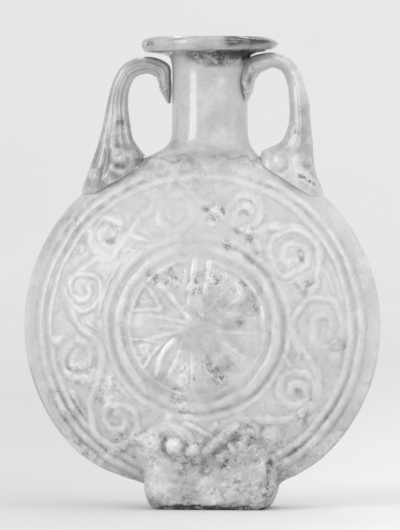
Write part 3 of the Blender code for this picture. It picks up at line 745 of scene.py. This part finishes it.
def volute_path(index):
    """A tendril that leaves the stem, goes once round and curls into an eye."""
    degrees, distance, radius, gap, stretch, strength = VOLUTES[index]
    outside = index % 2 == 1
    turning = 1.0 if outside else -1.0
    start = 0.0 if outside else 180.0
    path = []
    for step in range(VOLUTE_STEPS + 1):
        turns = VOLUTE_TURNS * step / VOLUTE_STEPS - VOLUTE_EARLY_TURNS
        reach = radius + gap * (1.0 - float(eased(*VOLUTE_JOINING_TURNS, turns)))
        reach -= radius * (1.0 - VOLUTE_EYE) * float(eased(*VOLUTE_CURLING_TURNS, turns))
        outward, along = polar(reach, start + turning * 360.0 * turns)
        along *= stretch
        axis_u, axis_v = polar(1.0, degrees)
        path.append((
            (distance + outward) * axis_u - along * axis_v,
            (distance + outward) * axis_v + along * axis_u,
            strength * (1.0 - VOLUTE_TAPER * step / VOLUTE_STEPS)))
    return path


def arc_path(start_angle, start_radius, end_angle, end_radius, strengths=LEAF_STRENGTHS):
    path = []
    for step in range(ARC_STEPS + 1):
        share = step / ARC_STEPS
        radius = start_radius + (end_radius - start_radius) * share
        strength = np.interp(share, ARC_SHARES, strengths)
        path.append((*polar(radius, start_angle + (end_angle - start_angle) * share), strength))
    return path


def spandrel_path(spandrel, inset=0.0):
    first, second, inner, _ = spandrel
    gap = math.degrees(inset / SPANDREL_OUTER_RADIUS) * SPANDREL_CORNER_INSET
    outer = SPANDREL_OUTER_RADIUS - inset
    path = [(*polar(SPANDREL_INNER_RADIUS + inset * SPANDREL_POINT_INSET, inner), 1.0)]
    for step in range(ARC_STEPS + 1):
        share = step / ARC_STEPS
        path.append((*polar(outer, first + gap + (second - first - 2.0 * gap) * share), 1.0))
    path.append(path[0])
    return path


def raise_rosette(relief, u, v):
    """Raise the crisp ridges of the rosette and the pairs of ridges of its worn petals."""
    ridges = list(CRISP_RIDGES)
    for degrees, inner, outer, height in WORN_PETALS:
        radii = (inner, (inner + outer) / 2.0, outer)
        for side in (-1.0, 1.0):
            ends = [(degrees + side * turn, radius) for turn, radius in zip(WORN_PETAL_TURNS, radii)]
            ridges.append((*ends, WORN_PETAL_HALF_WIDTH, height))
    for inner, middle, outer, half_width, height in ridges:
        path = [
            (*polar(radius, degrees), strength)
            for (degrees, radius), strength in zip((inner, middle, outer), RIDGE_STRENGTHS)]
        raise_path(relief, u, v, smooth_rows(path, RIDGE_STEPS), half_width, height)


def front_relief(u, v):
    """Height of the relief over the smooth lens on the front face."""
    places = np.column_stack([u, np.zeros(len(u)), v])
    wander = RELIEF_WARP * ripples(places, "warp across")
    degrees = np.degrees(np.arctan2(v, u))
    radius = np.hypot(u, v) + RING_WARP_SHARE * wander
    relief = np.zeros(len(u))
    raise_rosette(relief, u, v)
    u = u + wander + FINE_WARP * ripples(places, "fine across")
    v = v + RELIEF_WARP * ripples(places, "warp upright") + FINE_WARP * ripples(places, "fine upright")
    for index in range(len(VOLUTES)):
        raise_path(relief, u, v, volute_path(index), TENDRIL_HALF_WIDTH, STEM_HEIGHT)
    raise_path(relief, u, v, stem_path(), STEM_HALF_WIDTH, STEM_HEIGHT)
    for *ends, half_width, height in LEAVES:
        raise_path(relief, u, v, arc_path(*ends), half_width, height)
    for spandrel in SPANDRELS:
        for inset, share in ((0.0, 1.0), (SPANDREL_INSET, SPANDREL_INSET_SHARE)):
            triangle = spandrel_path(spandrel, inset)
            raise_path(relief, u, v, triangle, SPANDREL_HALF_WIDTH, spandrel[3] * share)
    for berry_u, berry_v, size, height in BERRIES:
        share = np.clip(np.hypot(u - berry_u, v - berry_v) / size, 0.0, 1.0)
        relief = np.maximum(relief, height * (1.0 - share ** 2))
    worn = eased(*FADED_ABOVE, v)
    relief *= 1.0 - RELIEF_FADE * worn * eased(*COARSE_LOSS, ripples(places, "relief loss"))
    relief *= 1.0 - FINE_FADE * worn * eased(*FINE_LOSS, ripples(places, "fine loss"))
    kept = 1.0 - RING_FADE * eased(*COARSE_LOSS, ripples(places, "ring loss"))
    for middle, width, inner_loss, outer_loss in RING_LOSSES:
        loss = np.where(radius < RING_LOSS_BORDER, inner_loss, outer_loss)
        kept = kept * (1.0 - loss * bell(turned_away(degrees, middle), width))
    raise_rings(relief, radius, FRONT_RINGS, kept)
    return relief


def back_relief(u, v):
    """Height of the plainer relief on the back face."""
    relief = np.zeros(len(u))
    wave = []
    for step in range(BACK_WAVE_STEPS + 1):
        degrees = 360.0 * step / BACK_WAVE_STEPS
        swing = BACK_WAVE_SWING * math.cos(math.radians(BACK_WAVES * degrees))
        wave.append((*polar(BACK_WAVE_MIDDLE + swing, degrees + BACK_TURN_DEGREES), 1.0))
    raise_path(relief, u, v, wave, STEM_HALF_WIDTH, STEM_HEIGHT)
    for index in range(BACK_PETALS):
        degrees = 360.0 * index / BACK_PETALS + BACK_TURN_DEGREES
        petal = arc_path(
            degrees, BACK_PETAL_INNER, degrees, BACK_PETAL_OUTER, BACK_PETAL_STRENGTHS)
        raise_path(relief, u, v, petal, STEM_HALF_WIDTH, STEM_HEIGHT)
    raise_rings(relief, np.hypot(u, v), BACK_RINGS)
    return relief


def outline_loss(degrees):
    """How far the disc's outline falls short of its circle at each angle."""
    loss = np.zeros(len(degrees))
    for middle, width, depth in OUTLINE_LOSSES:
        loss += depth * bell(turned_away(degrees, middle), width)
    return loss


# Meshes


def placed(name, data, place=(0.0, 0.0, 0.0), aim=None):
    """A new object of the scene, turned towards an aim if there is one."""
    thing = bpy.data.objects.new(name, data)
    bpy.context.scene.collection.objects.link(thing)
    thing.location = place
    if aim is not None:
        thing.rotation_euler = (Vector(aim) - Vector(place)).to_track_quat("-Z", "Y").to_euler()
    return thing


def mesh_object(name, points, faces):
    mesh = bpy.data.meshes.new(name)
    mesh.from_pydata([tuple(point) for point in points], [], faces)
    mesh.update()
    return placed(name, mesh)


def skin(name, rings):
    """Closed solid through rings with the same number of points, capped at both ends."""
    count = len(rings[0])
    points = np.vstack(rings + [np.mean(rings[0], axis=0)[None], np.mean(rings[-1], axis=0)[None]])
    faces = []
    for row in range(len(rings) - 1):
        base = row * count
        for index in range(count):
            following = (index + 1) % count
            faces.append((base + index, base + following, base + count + following, base + count + index))
    bottom = len(points) - 2
    top = len(points) - 1
    last = (len(rings) - 1) * count
    for index in range(count):
        following = (index + 1) % count
        faces.append((bottom, following, index))
        faces.append((top, last + index, last + following))
    solid = mesh_object(name, points, faces)
    working = bmesh.new()
    working.from_mesh(solid.data)
    bmesh.ops.recalc_face_normals(working, faces=working.faces)
    working.to_mesh(solid.data)
    working.free()
    return solid


def banded(bands):
    """Radii outwards from the first step, with their own spacing in each band."""
    radii = []
    start = 0.0
    for end, count in bands:
        radii += [start + (end - start) * (step + 1) / count for step in range(count)]
        start = end
    return np.array(radii)


def lens_places(rows, around):
    """x, height, half depth and side of the points of rings (radius, half depth, side) on the lens."""
    radius, depth, side = np.repeat(np.array(rows), around, axis=0).T
    angles = np.tile(np.arange(around) * 2.0 * math.pi / around, len(rows))
    kept = radius - outline_loss(np.degrees(angles)) * eased(OUTLINE_LOSS_START, DISC_RADIUS, radius)
    return kept * np.cos(angles), kept * np.sin(angles), depth, side


def disc():
    """The lens with its relief, as rings from the front pole round the edge to the back pole."""
    front_rows = [(radius, float(face_depth(radius)), -1.0) for radius in banded(FRONT_BANDS)]
    back_rows = [(radius, float(face_depth(radius)), 1.0) for radius in banded(BACK_BANDS)[::-1]]
    lip_radius, lip_depth, _ = front_rows[-1]
    edge_rows = []
    for step in range(1, 2 * EDGE_STEPS):
        angle = math.pi * step / (2 * EDGE_STEPS)
        radius = lip_radius + (DISC_RADIUS - lip_radius) * math.sin(angle)
        edge_rows.append((radius, lip_depth * math.cos(angle), -1.0))
    u, v, depth, side = lens_places(front_rows + edge_rows + back_rows, AROUND)
    front = np.arange(len(u)) < len(front_rows) * AROUND
    back = side > 0.0
    depth[front] += front_relief(u[front], v[front])
    depth[back] += back_relief(-u[back], v[back])
    points = np.column_stack([u, side * depth, v + DISC_CENTRE_Z])
    swell = ripples(points, "swell") * SWELL_HEIGHT + ripples(points, "fine swell") * FINE_SWELL_HEIGHT
    points[:, 1] += side * swell * (front | back)
    return skin("vessel", list(points.reshape(-1, AROUND, 3)))


def oval_rings(sections, around, steps, rim=False):
    angles = np.arange(around) * 2.0 * math.pi / around
    rings = []
    for height, centre_x, half_width, half_depth, rise in smooth_rows(sections, steps):
        x = half_width * np.cos(angles)
        y = half_depth * np.sin(angles)
        z = height + rise * x
        if rim and height > RIM_LOWEST:
            lift = min(abs(height - RIM_MIDDLE) / RIM_HALF_HEIGHT, 1.0)
            drawn = RIM_POINT * lift ** RIM_POINTEDNESS * (0.5 + 0.5 * np.cos(angles)) ** 3
            thinner = 1.0 - drawn / half_width
            x = x * thinner
            z = z + RIM_WAVE * np.sin(2.0 * angles + RIM_WAVE_START) * (1.0 - lift)
        rings.append(np.column_stack([centre_x + x, y, z]))
    return rings


def foot_rings():
    """Rounded rectangles, with extra points along their straight sides."""
    rings = []
    for height, half_width, half_depth, corner in smooth_rows(FOOT_SECTIONS, FOOT_STEPS):
        centres = []
        for side_x, side_y in [(1, 1), (-1, 1), (-1, -1), (1, -1)]:
            centre_x = FOOT_AXIS_X + side_x * (half_width - corner)
            centres.append(np.array([centre_x, side_y * (half_depth - corner), height]))
        ring = []
        for quarter, centre in enumerate(centres):
            for step in range(FOOT_CORNER_STEPS):
                degrees = 90.0 * (quarter + step / (FOOT_CORNER_STEPS - 1))
                ring.append(centre + (*polar(corner, degrees), 0.0))
            start = ring[-1]
            end = centres[(quarter + 1) % 4] + (*polar(corner, 90.0 * (quarter + 1)), 0.0)
            for step in range(1, FOOT_SIDE_STEPS):
                ring.append(start + (end - start) * (step / FOOT_SIDE_STEPS))
        rings.append(np.array(ring))
    return rings


def cavity():
    """The hollow inside the disc, one wall thickness in from its faces."""
    radii = np.linspace(CAVITY_INNER, CAVITY_OUTER, CAVITY_STEPS)
    rows = []
    for side, ordered in ((-1.0, radii), (1.0, radii[::-1])):
        rows += [(radius, max(float(face_depth(radius)) - WALL, CAVITY_LEAST), side) for radius in ordered]
    u, v, depth, side = lens_places(rows, BORE_AROUND)
    points = np.column_stack([u, side * depth, v + DISC_CENTRE_Z])
    return skin("cavity", list(points.reshape(-1, BORE_AROUND, 3)))


def apply_booleans(target, steps):
    """Run quick Booleans on a mesh and keep the result as plain mesh."""
    for operation, tool in steps:
        modifier = target.modifiers.new(tool.name, "BOOLEAN")
        modifier.operation = operation
        modifier.solver = "MANIFOLD"
        modifier.object = tool
    evaluated = target.evaluated_get(bpy.context.evaluated_depsgraph_get())
    mesh = bpy.data.meshes.new_from_object(evaluated)
    target.modifiers.clear()
    target.data = mesh
    mesh.name = target.name


def read(items, name, width=3, kind=float):
    """Rows of one value of a mesh's vertices or edges."""
    values = np.empty(len(items) * width, kind)
    items.foreach_get(name, values)
    return values.reshape(-1, width)


def edge_ends(mesh):
    return read(mesh.edges, "vertices", 2, int)


def relaxed(points, ends, share, rounds):
    """Points drawn towards the middle of their neighbours, as far as share says."""
    points = points.copy()
    first = np.concatenate([ends[:, 0], ends[:, 1]])
    second = np.concatenate([ends[:, 1], ends[:, 0]])
    count = np.maximum(np.bincount(first, minlength=len(points)), 1)
    for _ in range(rounds):
        for axis in range(3):
            total = np.bincount(first, weights=points[second, axis], minlength=len(points))
            points[:, axis] += (total / count - points[:, axis]) * share * 0.5
    return points


def section_at(z, sections):
    """Measures of a table of sections at each height."""
    heights, *columns = np.array(sections).T
    return [np.interp(z, heights, column) for column in columns]


def junction_share(points):
    """1 where the disc meets the neck or the foot, falling to 0 a few millimetres away."""
    x, y, z = points.T
    lens = np.abs(y) - face_depth(np.minimum(np.hypot(x, z - DISC_CENTRE_Z), DISC_RADIUS))
    centre, width, depth, _ = section_at(z, NECK_SECTIONS)
    neck = (np.hypot((x - centre) / width, y / depth) - 1.0) * depth
    width, depth, corner = section_at(z, FOOT_SECTIONS)
    across = np.abs(x - FOOT_AXIS_X) - (width - corner)
    deep = np.abs(y) - (depth - corner)
    foot = np.hypot(np.maximum(across, 0.0), np.maximum(deep, 0.0)) + np.minimum(
        np.maximum(across, deep), 0.0) - corner
    at_neck = np.exp(-(lens ** 2 + neck ** 2) / JUNCTION_REACH ** 2)
    at_neck *= come_and_go(NECK_JUNCTION, z)
    at_foot = np.exp(-(lens ** 2 + foot ** 2) / JUNCTION_REACH ** 2)
    at_foot *= come_and_go(FOOT_JUNCTION, z)
    return np.maximum(at_neck, at_foot)


def corner_groove(points):
    """1 in the upright groove beside the right front corner of the foot, falling to 0 around it."""
    x, y, z = points.T
    upright = come_and_go(CORNER_GROOVE_HEIGHTS, z) * (y < CORNER_GROOVE_BACK)
    return bell(x - CORNER_GROOVE_X, CORNER_GROOVE_REACH) * upright


def write_wear_and_painted_light(mesh, pitted, stain_and_painted_light, polish):
    """Store how hollow, raised, pitted and polished each point is, and its stains with painted highlights
    and shade, for the material.
    """
    points = read(mesh.vertices, "co")
    normals = read(mesh.vertices, "normal")
    ends = edge_ends(mesh)
    whole = np.ones(len(points))
    hollow = np.zeros(len(points))
    for rounds, full_depth in WEAR_REACHES:
        depth = np.einsum("ij,ij->i", relaxed(points, ends, whole, rounds) - points, normals)
        hollow += np.clip(depth / full_depth, -1.0, 1.0) / len(WEAR_REACHES)
    shares = [np.clip(values, 0.0, 1.0) for values in (hollow, -hollow, pitted)]
    layer = mesh.attributes.new("wear", "FLOAT_COLOR", "POINT")
    layer.data.foreach_set("color", np.column_stack(shares + [whole]).ravel())
    for name, values in (("stain_and_painted_light", stain_and_painted_light), ("polish", polish)):
        layer = mesh.attributes.new(name, "FLOAT", "POINT")
        layer.data.foreach_set("value", values)


def smooth_shading(thing):
    thing.data.polygons.foreach_set("use_smooth", [True] * len(thing.data.polygons))
    thing.data.update()


def add_patches(pitted, stain_and_painted_light, places, patches, border, raggedness, strength, in_front):
    """Add weathered patches, some of them painted highlight and shade, of (x, height, size, tone, pitting)
    with ragged borders.
    """
    across, upright = places
    start, full = border
    for patch_x, patch_z, size, tone, rough in patches:
        distance = np.hypot(across - patch_x, upright - patch_z) + raggedness * size
        share = eased(size * start, size * full, distance) * in_front
        stain_and_painted_light += strength * tone * share
        np.maximum(pitted, rough * share, out=pitted)


def rosette_crest_highlights(points, v):
    """1 along the worn crests of the rosette's ridges, broken here and there: the share of their painted
    highlight.
    """
    crests = np.zeros(len(points))
    raise_rosette(crests, points[:, 0] + CREST_WANDER * ripples(points, "crest path"), v)
    crests *= eased(*CREST_LOSS, ripples(points, "crest loss"))
    return np.minimum(crests / CREST_HEIGHT, 1.0)


def groove_darkness(points, places):
    """Painted shade and dirt in the two outer grooves."""
    grooves = sum(bell(places["radius"] - middle, GROOVE_REACH) for middle in GROOVE_RADII)
    right, left, upper = GROOVE_DARKNESS
    patches = GROOVE_EVENNESS + (1.0 - GROOVE_EVENNESS) * ripples(points, "grooves")
    dark = right * zone_share(places, RIGHT_GROOVES) + left * zone_share(places, LEFT_GROOVES)
    return grooves * (dark * patches + upper * zone_share(places, UPPER_GROOVES))


def wear_places(points):
    """The measures of place that the zones are stated in."""
    x, y, z = points.T
    v = z - DISC_CENTRE_Z
    neck_x, neck_z = NECK_SMUDGE
    shoulder_x, shoulder_z = SHOULDER_SMUDGE
    under_x, under_z, half_width, half_height = UNDER_RIM
    return {
        "across": x, "depth": y, "height": z, "upright": v, "radius": np.hypot(x, v),
        "from neck": np.hypot(x - NECK_AXIS_X, y),
        "from neck smudge": np.hypot(x - neck_x, (z - neck_z) * NECK_SMUDGE_SQUASH),
        "from shoulder smudge": np.hypot(x - shoulder_x, z - shoulder_z),
        "under rim": 1.0 - ((x - under_x) / half_width) ** 2 - ((z - under_z) / half_height) ** 2,
        "uneven": ripples(points, "borders"), "ragged": ripples(points, "ragged"),
        "streaks": ripples(points * STREAK_STRETCH, "streaks"),
    }


def body_wear_and_painted_light(points):
    """Pitting, stains with painted highlights and shade, and polish of the vessel by place."""
    x, _, z = points.T
    places = wear_places(points)
    uneven, ragged, v = places["uneven"], places["ragged"], places["upright"]
    front = zone_share(places, [IN_FRONT])
    # Painted shade in the corner groove, and painted shade with dirt in the outer ring grooves
    dark = CORNER_GROOVE_PAINTED_SHADE * corner_groove(points) + groove_darkness(points, places)
    pitted = (FOOT_PITS + FOOT_PITS_CHANGE * uneven) * zone_share(places, FOOT_ZONE)
    for darkness, pitting, limits in ZONES.values():
        share = zone_share(places, limits)
        dark += darkness * share
        pitted = np.maximum(pitted, pitting * share)
    # Painted shade and dirt along the crease between neck and disc
    crease = bell(z - CREASE_Z + CREASE_WANDER * ragged, CREASE_REACH)
    dark += CREASE_DARKNESS * crease * zone_share(places, CREASE_ZONE)
    pits_x, pits_z, pits_width, pits_height = RIM_PITS
    pits = bell(x - pits_x, pits_width) * bell(z - pits_z, pits_height) * front
    dark += RIM_PITS_DARKNESS * pits * zone_share(places, RIM_PITS_ZONE)
    pitted = np.maximum(pitted, pits)
    # The rosette's crests get a painted highlight; dark takes off stains together with painted shade and
    # shadow
    stain_and_painted_light = CREST_PAINTED_HIGHLIGHT * rosette_crest_highlights(points, v) * front - dark
    raggedness = STAIN_UNEVENNESS * uneven + STAIN_RAGGEDNESS * ragged
    add_patches(pitted, stain_and_painted_light, (x, v), STAINS, STAIN_BORDER, raggedness, STAIN_STRENGTH, front)
    polished = MEDALLION_POLISH * zone_share(places, POLISHED_MEDALLION)
    return pitted, stain_and_painted_light, np.maximum(1.0 - zone_share(places, [ON_DISC]), polished)


def vessel():
    """The blown glass vessel: disc, neck, rim and foot with the hollow inside."""
    body = disc()
    neck = skin("neck", oval_rings(NECK_SECTIONS, NECK_AROUND, NECK_STEPS, rim=True))
    foot = skin("foot", foot_rings())
    hollow = cavity()
    bore = skin("bore", oval_rings(BORE_SECTIONS, BORE_AROUND, BORE_STEPS))
    outer = placed("outer", body.data.copy())
    apply_booleans(outer, [("UNION", neck)])
    apply_booleans(body, [
        ("UNION", neck), ("UNION", foot), ("DIFFERENCE", hollow), ("DIFFERENCE", bore)])
    mesh = body.data
    points = read(mesh.vertices, "co")
    points = relaxed(points, edge_ends(mesh), junction_share(points), JUNCTION_ROUNDS)
    points[:, 2] = np.maximum(points[:, 2], 0.0)
    pitted, stain_and_painted_light, polish = body_wear_and_painted_light(points)
    crumbled = ripples(points, "crumble") * pitted * eased(0.0, CRUMBLE_START, points[:, 2])
    push = CRUMBLE_DEPTH * crumbled - CORNER_GROOVE_DEPTH * corner_groove(points)
    mesh.vertices.foreach_set("co", (points + read(mesh.vertices, "normal") * push[:, None]).ravel())
    mesh.update()
    smooth_shading(body)
    write_wear_and_painted_light(mesh, pitted, stain_and_painted_light, polish)
    for tool in (neck, foot, hollow, bore):
        bpy.data.objects.remove(tool)
    return body, outer


def press_lumps(points, lumps, curls):
    """Push rounded lumps and open folded loops out of the front of a strap."""
    in_front = eased(*STRAP_FRONT, -points[:, 1])
    for lump_x, lump_z, radius, height in lumps:
        share = np.clip(np.hypot(points[:, 0] - lump_x, points[:, 2] - lump_z) / radius, 0.0, 1.0)
        points[:, 1] -= height * np.cos(share * math.pi / 2.0) ** LUMP_POINTEDNESS * in_front
    for curl_x, curl_z, radius, half_width, height, open_degrees in curls:
        across = points[:, 0] - curl_x
        upright = points[:, 2] - curl_z
        away = turned_away(np.degrees(np.arctan2(upright, across)), open_degrees)
        rise = ridge(np.abs(np.hypot(across, upright) - radius) / half_width)
        points[:, 1] -= height * rise * eased(*CURL_OPENING, away) * in_front


def handle(name, rows, ribs, lumps, curls, stains, outer):
    """A drawn strap of glass with its ribs, lumps, curls and hollows, trimmed to the vessel."""
    angles = np.arange(HANDLE_SIDES) * 2.0 * math.pi / HANDLE_SIDES
    raised = np.zeros(HANDLE_SIDES)
    for degrees, height, half_width in ribs:
        raised += height * bell(turned_away(np.degrees(angles), degrees), half_width)
    rings = []
    for x, z, half_thickness, outer_degrees, half_depth in smooth_rows(rows, HANDLE_STEPS):
        out_x, out_z = polar(1.0, outer_degrees)
        kept = min(half_thickness / RIB_FULL_THICKNESS, RIB_MOST) * raised
        across = (max(half_thickness, THINNEST_HALF) - RIB_SINK + kept) * np.cos(angles)
        deep = (half_depth - RIB_SINK + kept) * np.sin(angles)
        rings.append(np.column_stack([x + out_x * across, deep, z + out_z * across]))
    points = np.vstack(rings)
    points[:, 0] += HANDLE_BEND * ripples(points, "handle bend")
    press_lumps(points, lumps, curls)
    strap = skin(name, list(points.reshape(len(rings), HANDLE_SIDES, 3)))
    apply_booleans(strap, [("DIFFERENCE", outer)])
    smooth_shading(strap)
    points = read(strap.data.vertices, "co")
    x, y, z = points.T
    border = z + HANDLE_FOOT_WANDER * ripples(points, "handle pits")
    pitted = HANDLE_PITS * eased(*HANDLE_FOOT, border)
    stain_and_painted_light = HANDLE_TONE_CHANGE * ripples(points, "handle tone")
    raggedness = STAIN_RAGGEDNESS * ripples(points, "handle ragged")
    add_patches(pitted, stain_and_painted_light, (x, z), stains, HANDLE_STAIN_BORDER, raggedness, 1.0, y < 0.0)
    write_wear_and_painted_light(strap.data, pitted, stain_and_painted_light, np.ones(len(points)))
    return strap


# Materials


class Graph:
    """Small helper that adds and links shader nodes."""

    def __init__(self, name):
        self.material = bpy.data.materials.new(name)
        self.material.use_nodes = True
        self.tree = self.material.node_tree
        self.shader = self.tree.nodes["Principled BSDF"]

    def node(self, kind, sockets=None, **settings):
        made = self.tree.nodes.new(kind)
        for key, value in settings.items():
            setattr(made, key, value)
        return self.fill(made, sockets or {})

    def fill(self, node, sockets):
        """Set each named socket to a number, or link it to another socket."""
        for name, value in sockets.items():
            if isinstance(value, (int, float)):
                node.inputs[name].default_value = value
            else:
                self.tree.links.new(value, node.inputs[name])
        return node

    def math(self, operation, first, second, clamp=False):
        sockets = {0: first, 1: second}
        return self.node("ShaderNodeMath", sockets, operation=operation, use_clamp=clamp).outputs[0]

    def times(self, first, second):
        return self.math("MULTIPLY", first, second)

    def plus(self, first, second, clamp=False):
        return self.math("ADD", first, second, clamp)

    def minus(self, first, second):
        return self.math("SUBTRACT", first, second)

    def noise(self, scale, detail, roughness, distortion=0.0):
        return self.node("ShaderNodeTexNoise", {
            "Scale": scale, "Detail": detail, "Roughness": roughness, "Distortion": distortion,
            "Vector": self.place}).outputs["Fac"]

    def spread(self, value, low, high, to_low=0.0, to_high=1.0):
        return self.node("ShaderNodeMapRange", {
            "Value": value, "From Min": low, "From Max": high, "To Min": to_low, "To Max": to_high,
        }, clamp=True, interpolation_type="SMOOTHSTEP").outputs["Result"]

    def pattern(self, name):
        *noise, low, high, to_low, to_high = PATTERNS[name]
        return self.spread(self.noise(*noise), low, high, to_low, to_high)

    @property
    def place(self):
        if not hasattr(self, "_place"):
            self._place = self.node("ShaderNodeTexCoord").outputs["Object"]
        return self._place

    def attribute(self, name, output="Fac"):
        return self.node("ShaderNodeAttribute", attribute_name=name).outputs[output]

    def grey(self, value):
        return self.node("ShaderNodeCombineColor", {0: value, 1: value, 2: value}).outputs[0]

    def bump(self, strength, height):
        sockets = {"Strength": strength, "Distance": BUMP_DEPTH, "Height": height}
        return self.node("ShaderNodeBump", sockets).outputs["Normal"]


def glass_tone(graph, look, pitted, hollow, raised, mottled, specks):
    """Lightness of the glass: mottling, film, ridges lightened as painted highlight and wear, hollows
    darkened as painted shade and dirt, pits, and stains with painted light and shade.
    """
    patchy = graph.pattern("patchy")
    clustered = graph.times(graph.pattern("clustered"), pitted)
    film = graph.spread(pitted, 0.0, 1.0, look["flaked"], look["film"])
    torn = graph.times(graph.minus(graph.pattern("torn"), 1.0), graph.spread(pitted, 0.0, TORN_FULL))
    layers = [
        (graph.pattern("cloudy"), look["cloudy"]),
        (mottled, look["mottled"]),
        (graph.pattern("flaked"), film),
        # Painted highlight with wear on raised places, painted shade with dirt in hollows
        (graph.times(raised, graph.plus(graph.times(pitted, RIDGE_HIGHLIGHT_AND_WEAR_BY_PITS), patchy)), look["raised"]),
        (graph.times(hollow, graph.plus(graph.times(pitted, HOLLOW_SHADE_AND_DIRT_BY_PITS), patchy)), -look["hollow"]),
        (graph.times(graph.spread(specks, *DARK_SPECKS), clustered), -look["pits"]),
        (graph.times(graph.spread(specks, *PALE_SPECKS), clustered), look["flakes"]),
        (graph.times(graph.attribute("stain_and_painted_light"), graph.plus(torn, 1.0)), look["stain_and_painted_light"]),
    ]
    tone = look["tone"]
    for layer, strength in layers:
        tone = graph.plus(tone, graph.times(layer, strength))
    return graph.math("MINIMUM", graph.math("MAXIMUM", tone, DARKEST), LIGHTEST)


def weathered_glass(name, look):
    """Milky old glass with a glossy coat, rougher and bumpier where it is pitted, with painted highlights
    on ridges and painted shade in hollows.
    """
    graph = Graph(name)
    wear = graph.node("ShaderNodeSeparateColor", {0: graph.attribute("wear", "Color")})
    hollow, raised, pitted = wear.outputs[:3]
    mottled = graph.pattern("mottled")
    specks = graph.noise(*SPECKS)
    polish = graph.attribute("polish")
    rough = graph.plus(look["roughness"], graph.times(pitted, look["pitted_roughness"]))
    rough = graph.minus(rough, graph.times(polish, look["polish"]))
    fine = graph.times(specks, graph.spread(pitted, 0.0, 1.0, *SPECK_RELIEF))
    height = graph.plus(graph.times(mottled, MOTTLED_RELIEF), fine)
    height = graph.times(height, graph.spread(polish, 0.0, 1.0, 1.0, POLISHED_RELIEF))
    tone = glass_tone(graph, look, pitted, hollow, raised, mottled, specks)
    graph.fill(graph.shader, {
        "Base Color": graph.grey(tone),
        "Roughness": graph.plus(rough, graph.times(mottled, MOTTLED_ROUGHNESS), clamp=True),
        "Normal": graph.bump(look["bump"], height),
        "Coat Normal": graph.bump(look["bump"] * COAT_BUMP_SHARE, height),
        "IOR": GLASS_IOR, "Coat IOR": COAT_IOR, "Coat Weight": look["coat"],
        "Coat Roughness": look["coat_roughness"], "Transmission Weight": look["through"]})
    return graph.material


def backdrop_paper():
    graph = Graph("backdrop_paper")
    across, along, _ = graph.node("ShaderNodeSeparateXYZ", {0: graph.place}).outputs
    # Painted shadow to the left and painted light to the right on the floor
    painted_floor_light_and_shade = graph.times(graph.spread(along, *FLOOR_DEPTHS), graph.spread(across, *FLOOR_TONES))
    tone = graph.plus(graph.pattern("paper"), painted_floor_light_and_shade)
    graph.fill(graph.shader, {
        "Base Color": graph.grey(tone), "Roughness": PAPER_ROUGHNESS,
        "Specular IOR Level": PAPER_SPECULAR})
    return graph.material


# Stage


def sweep():
    """Pale paper that runs along the floor and curves up behind the flask."""
    profile = [(y, 0.0) for y in (PAPER_FRONT_Y, *PAPER_SPLITS_Y, PAPER_WALL_Y - PAPER_BEND)]
    for step in range(1, PAPER_BEND_STEPS + 1):
        angle = math.radians(90.0 * step / PAPER_BEND_STEPS)
        y = PAPER_WALL_Y - PAPER_BEND + PAPER_BEND * math.sin(angle)
        profile.append((y, PAPER_BEND - PAPER_BEND * math.cos(angle)))
    profile.append((PAPER_WALL_Y, PAPER_TOP))
    points = []
    faces = []
    for y, z in profile:
        points += [(-PAPER_HALF_WIDTH, y, z), (PAPER_HALF_WIDTH, y, z)]
    for first in range(0, len(points) - 2, 2):
        faces.append((first, first + 1, first + 3, first + 2))
    paper = mesh_object("backdrop", points, faces)
    smooth_shading(paper)
    paper.data.materials.append(backdrop_paper())


def soft_light(name, place, aim, width, height, power):
    data = bpy.data.lights.new(name, "AREA")
    data.shape = "RECTANGLE"
    data.size = width
    data.size_y = height
    data.energy = power
    placed(name, data, place, aim)


def lights():
    world = bpy.data.worlds.new("studio")
    world.use_nodes = True
    background = world.node_tree.nodes["Background"]
    background.inputs["Color"].default_value = (1.0, 1.0, 1.0, 1.0)
    background.inputs["Strength"].default_value = WORLD_STRENGTH
    bpy.context.scene.world = world
    bpy.context.scene.view_settings.view_transform = "Standard"
    for name, settings in LIGHTS.items():
        soft_light(name, *settings)


def camera():
    data = bpy.data.cameras.new("camera")
    data.sensor_width = SENSOR
    data.lens = SENSOR * CAMERA_DISTANCE / FRAME_HEIGHT
    data.clip_start = CLIP_START
    data.clip_end = CLIP_END
    back, across = polar(CAMERA_DISTANCE, CAMERA_AZIMUTH)
    place = (LOOK_AT[0] + across, LOOK_AT[1] - back, CAMERA_HEIGHT)
    bpy.context.scene.camera = placed("camera", data, place, LOOK_AT)


def dress(piece, node, material):
    piece.data.materials.clear()
    piece.data.materials.append(material)
    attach(piece, "root")
    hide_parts(node)


camera()
body, outer = vessel()
left = handle("left_strap", LEFT_HANDLE, LEFT_RIBS, LEFT_LUMPS, LEFT_CURLS, LEFT_STAINS, outer)
right = handle("right_strap", RIGHT_HANDLE, RIGHT_RIBS, RIGHT_LUMPS, RIGHT_CURLS, RIGHT_STAINS, outer)
bpy.data.objects.remove(outer)
dress(body, "flask_body", weathered_glass("body_glass_worn", BODY_LOOK))
dress(left, "left_handle", weathered_glass("left_glass_worn", LEFT_LOOK))
dress(right, "right_handle", weathered_glass("right_glass_worn", RIGHT_LOOK))
sweep()
lights()
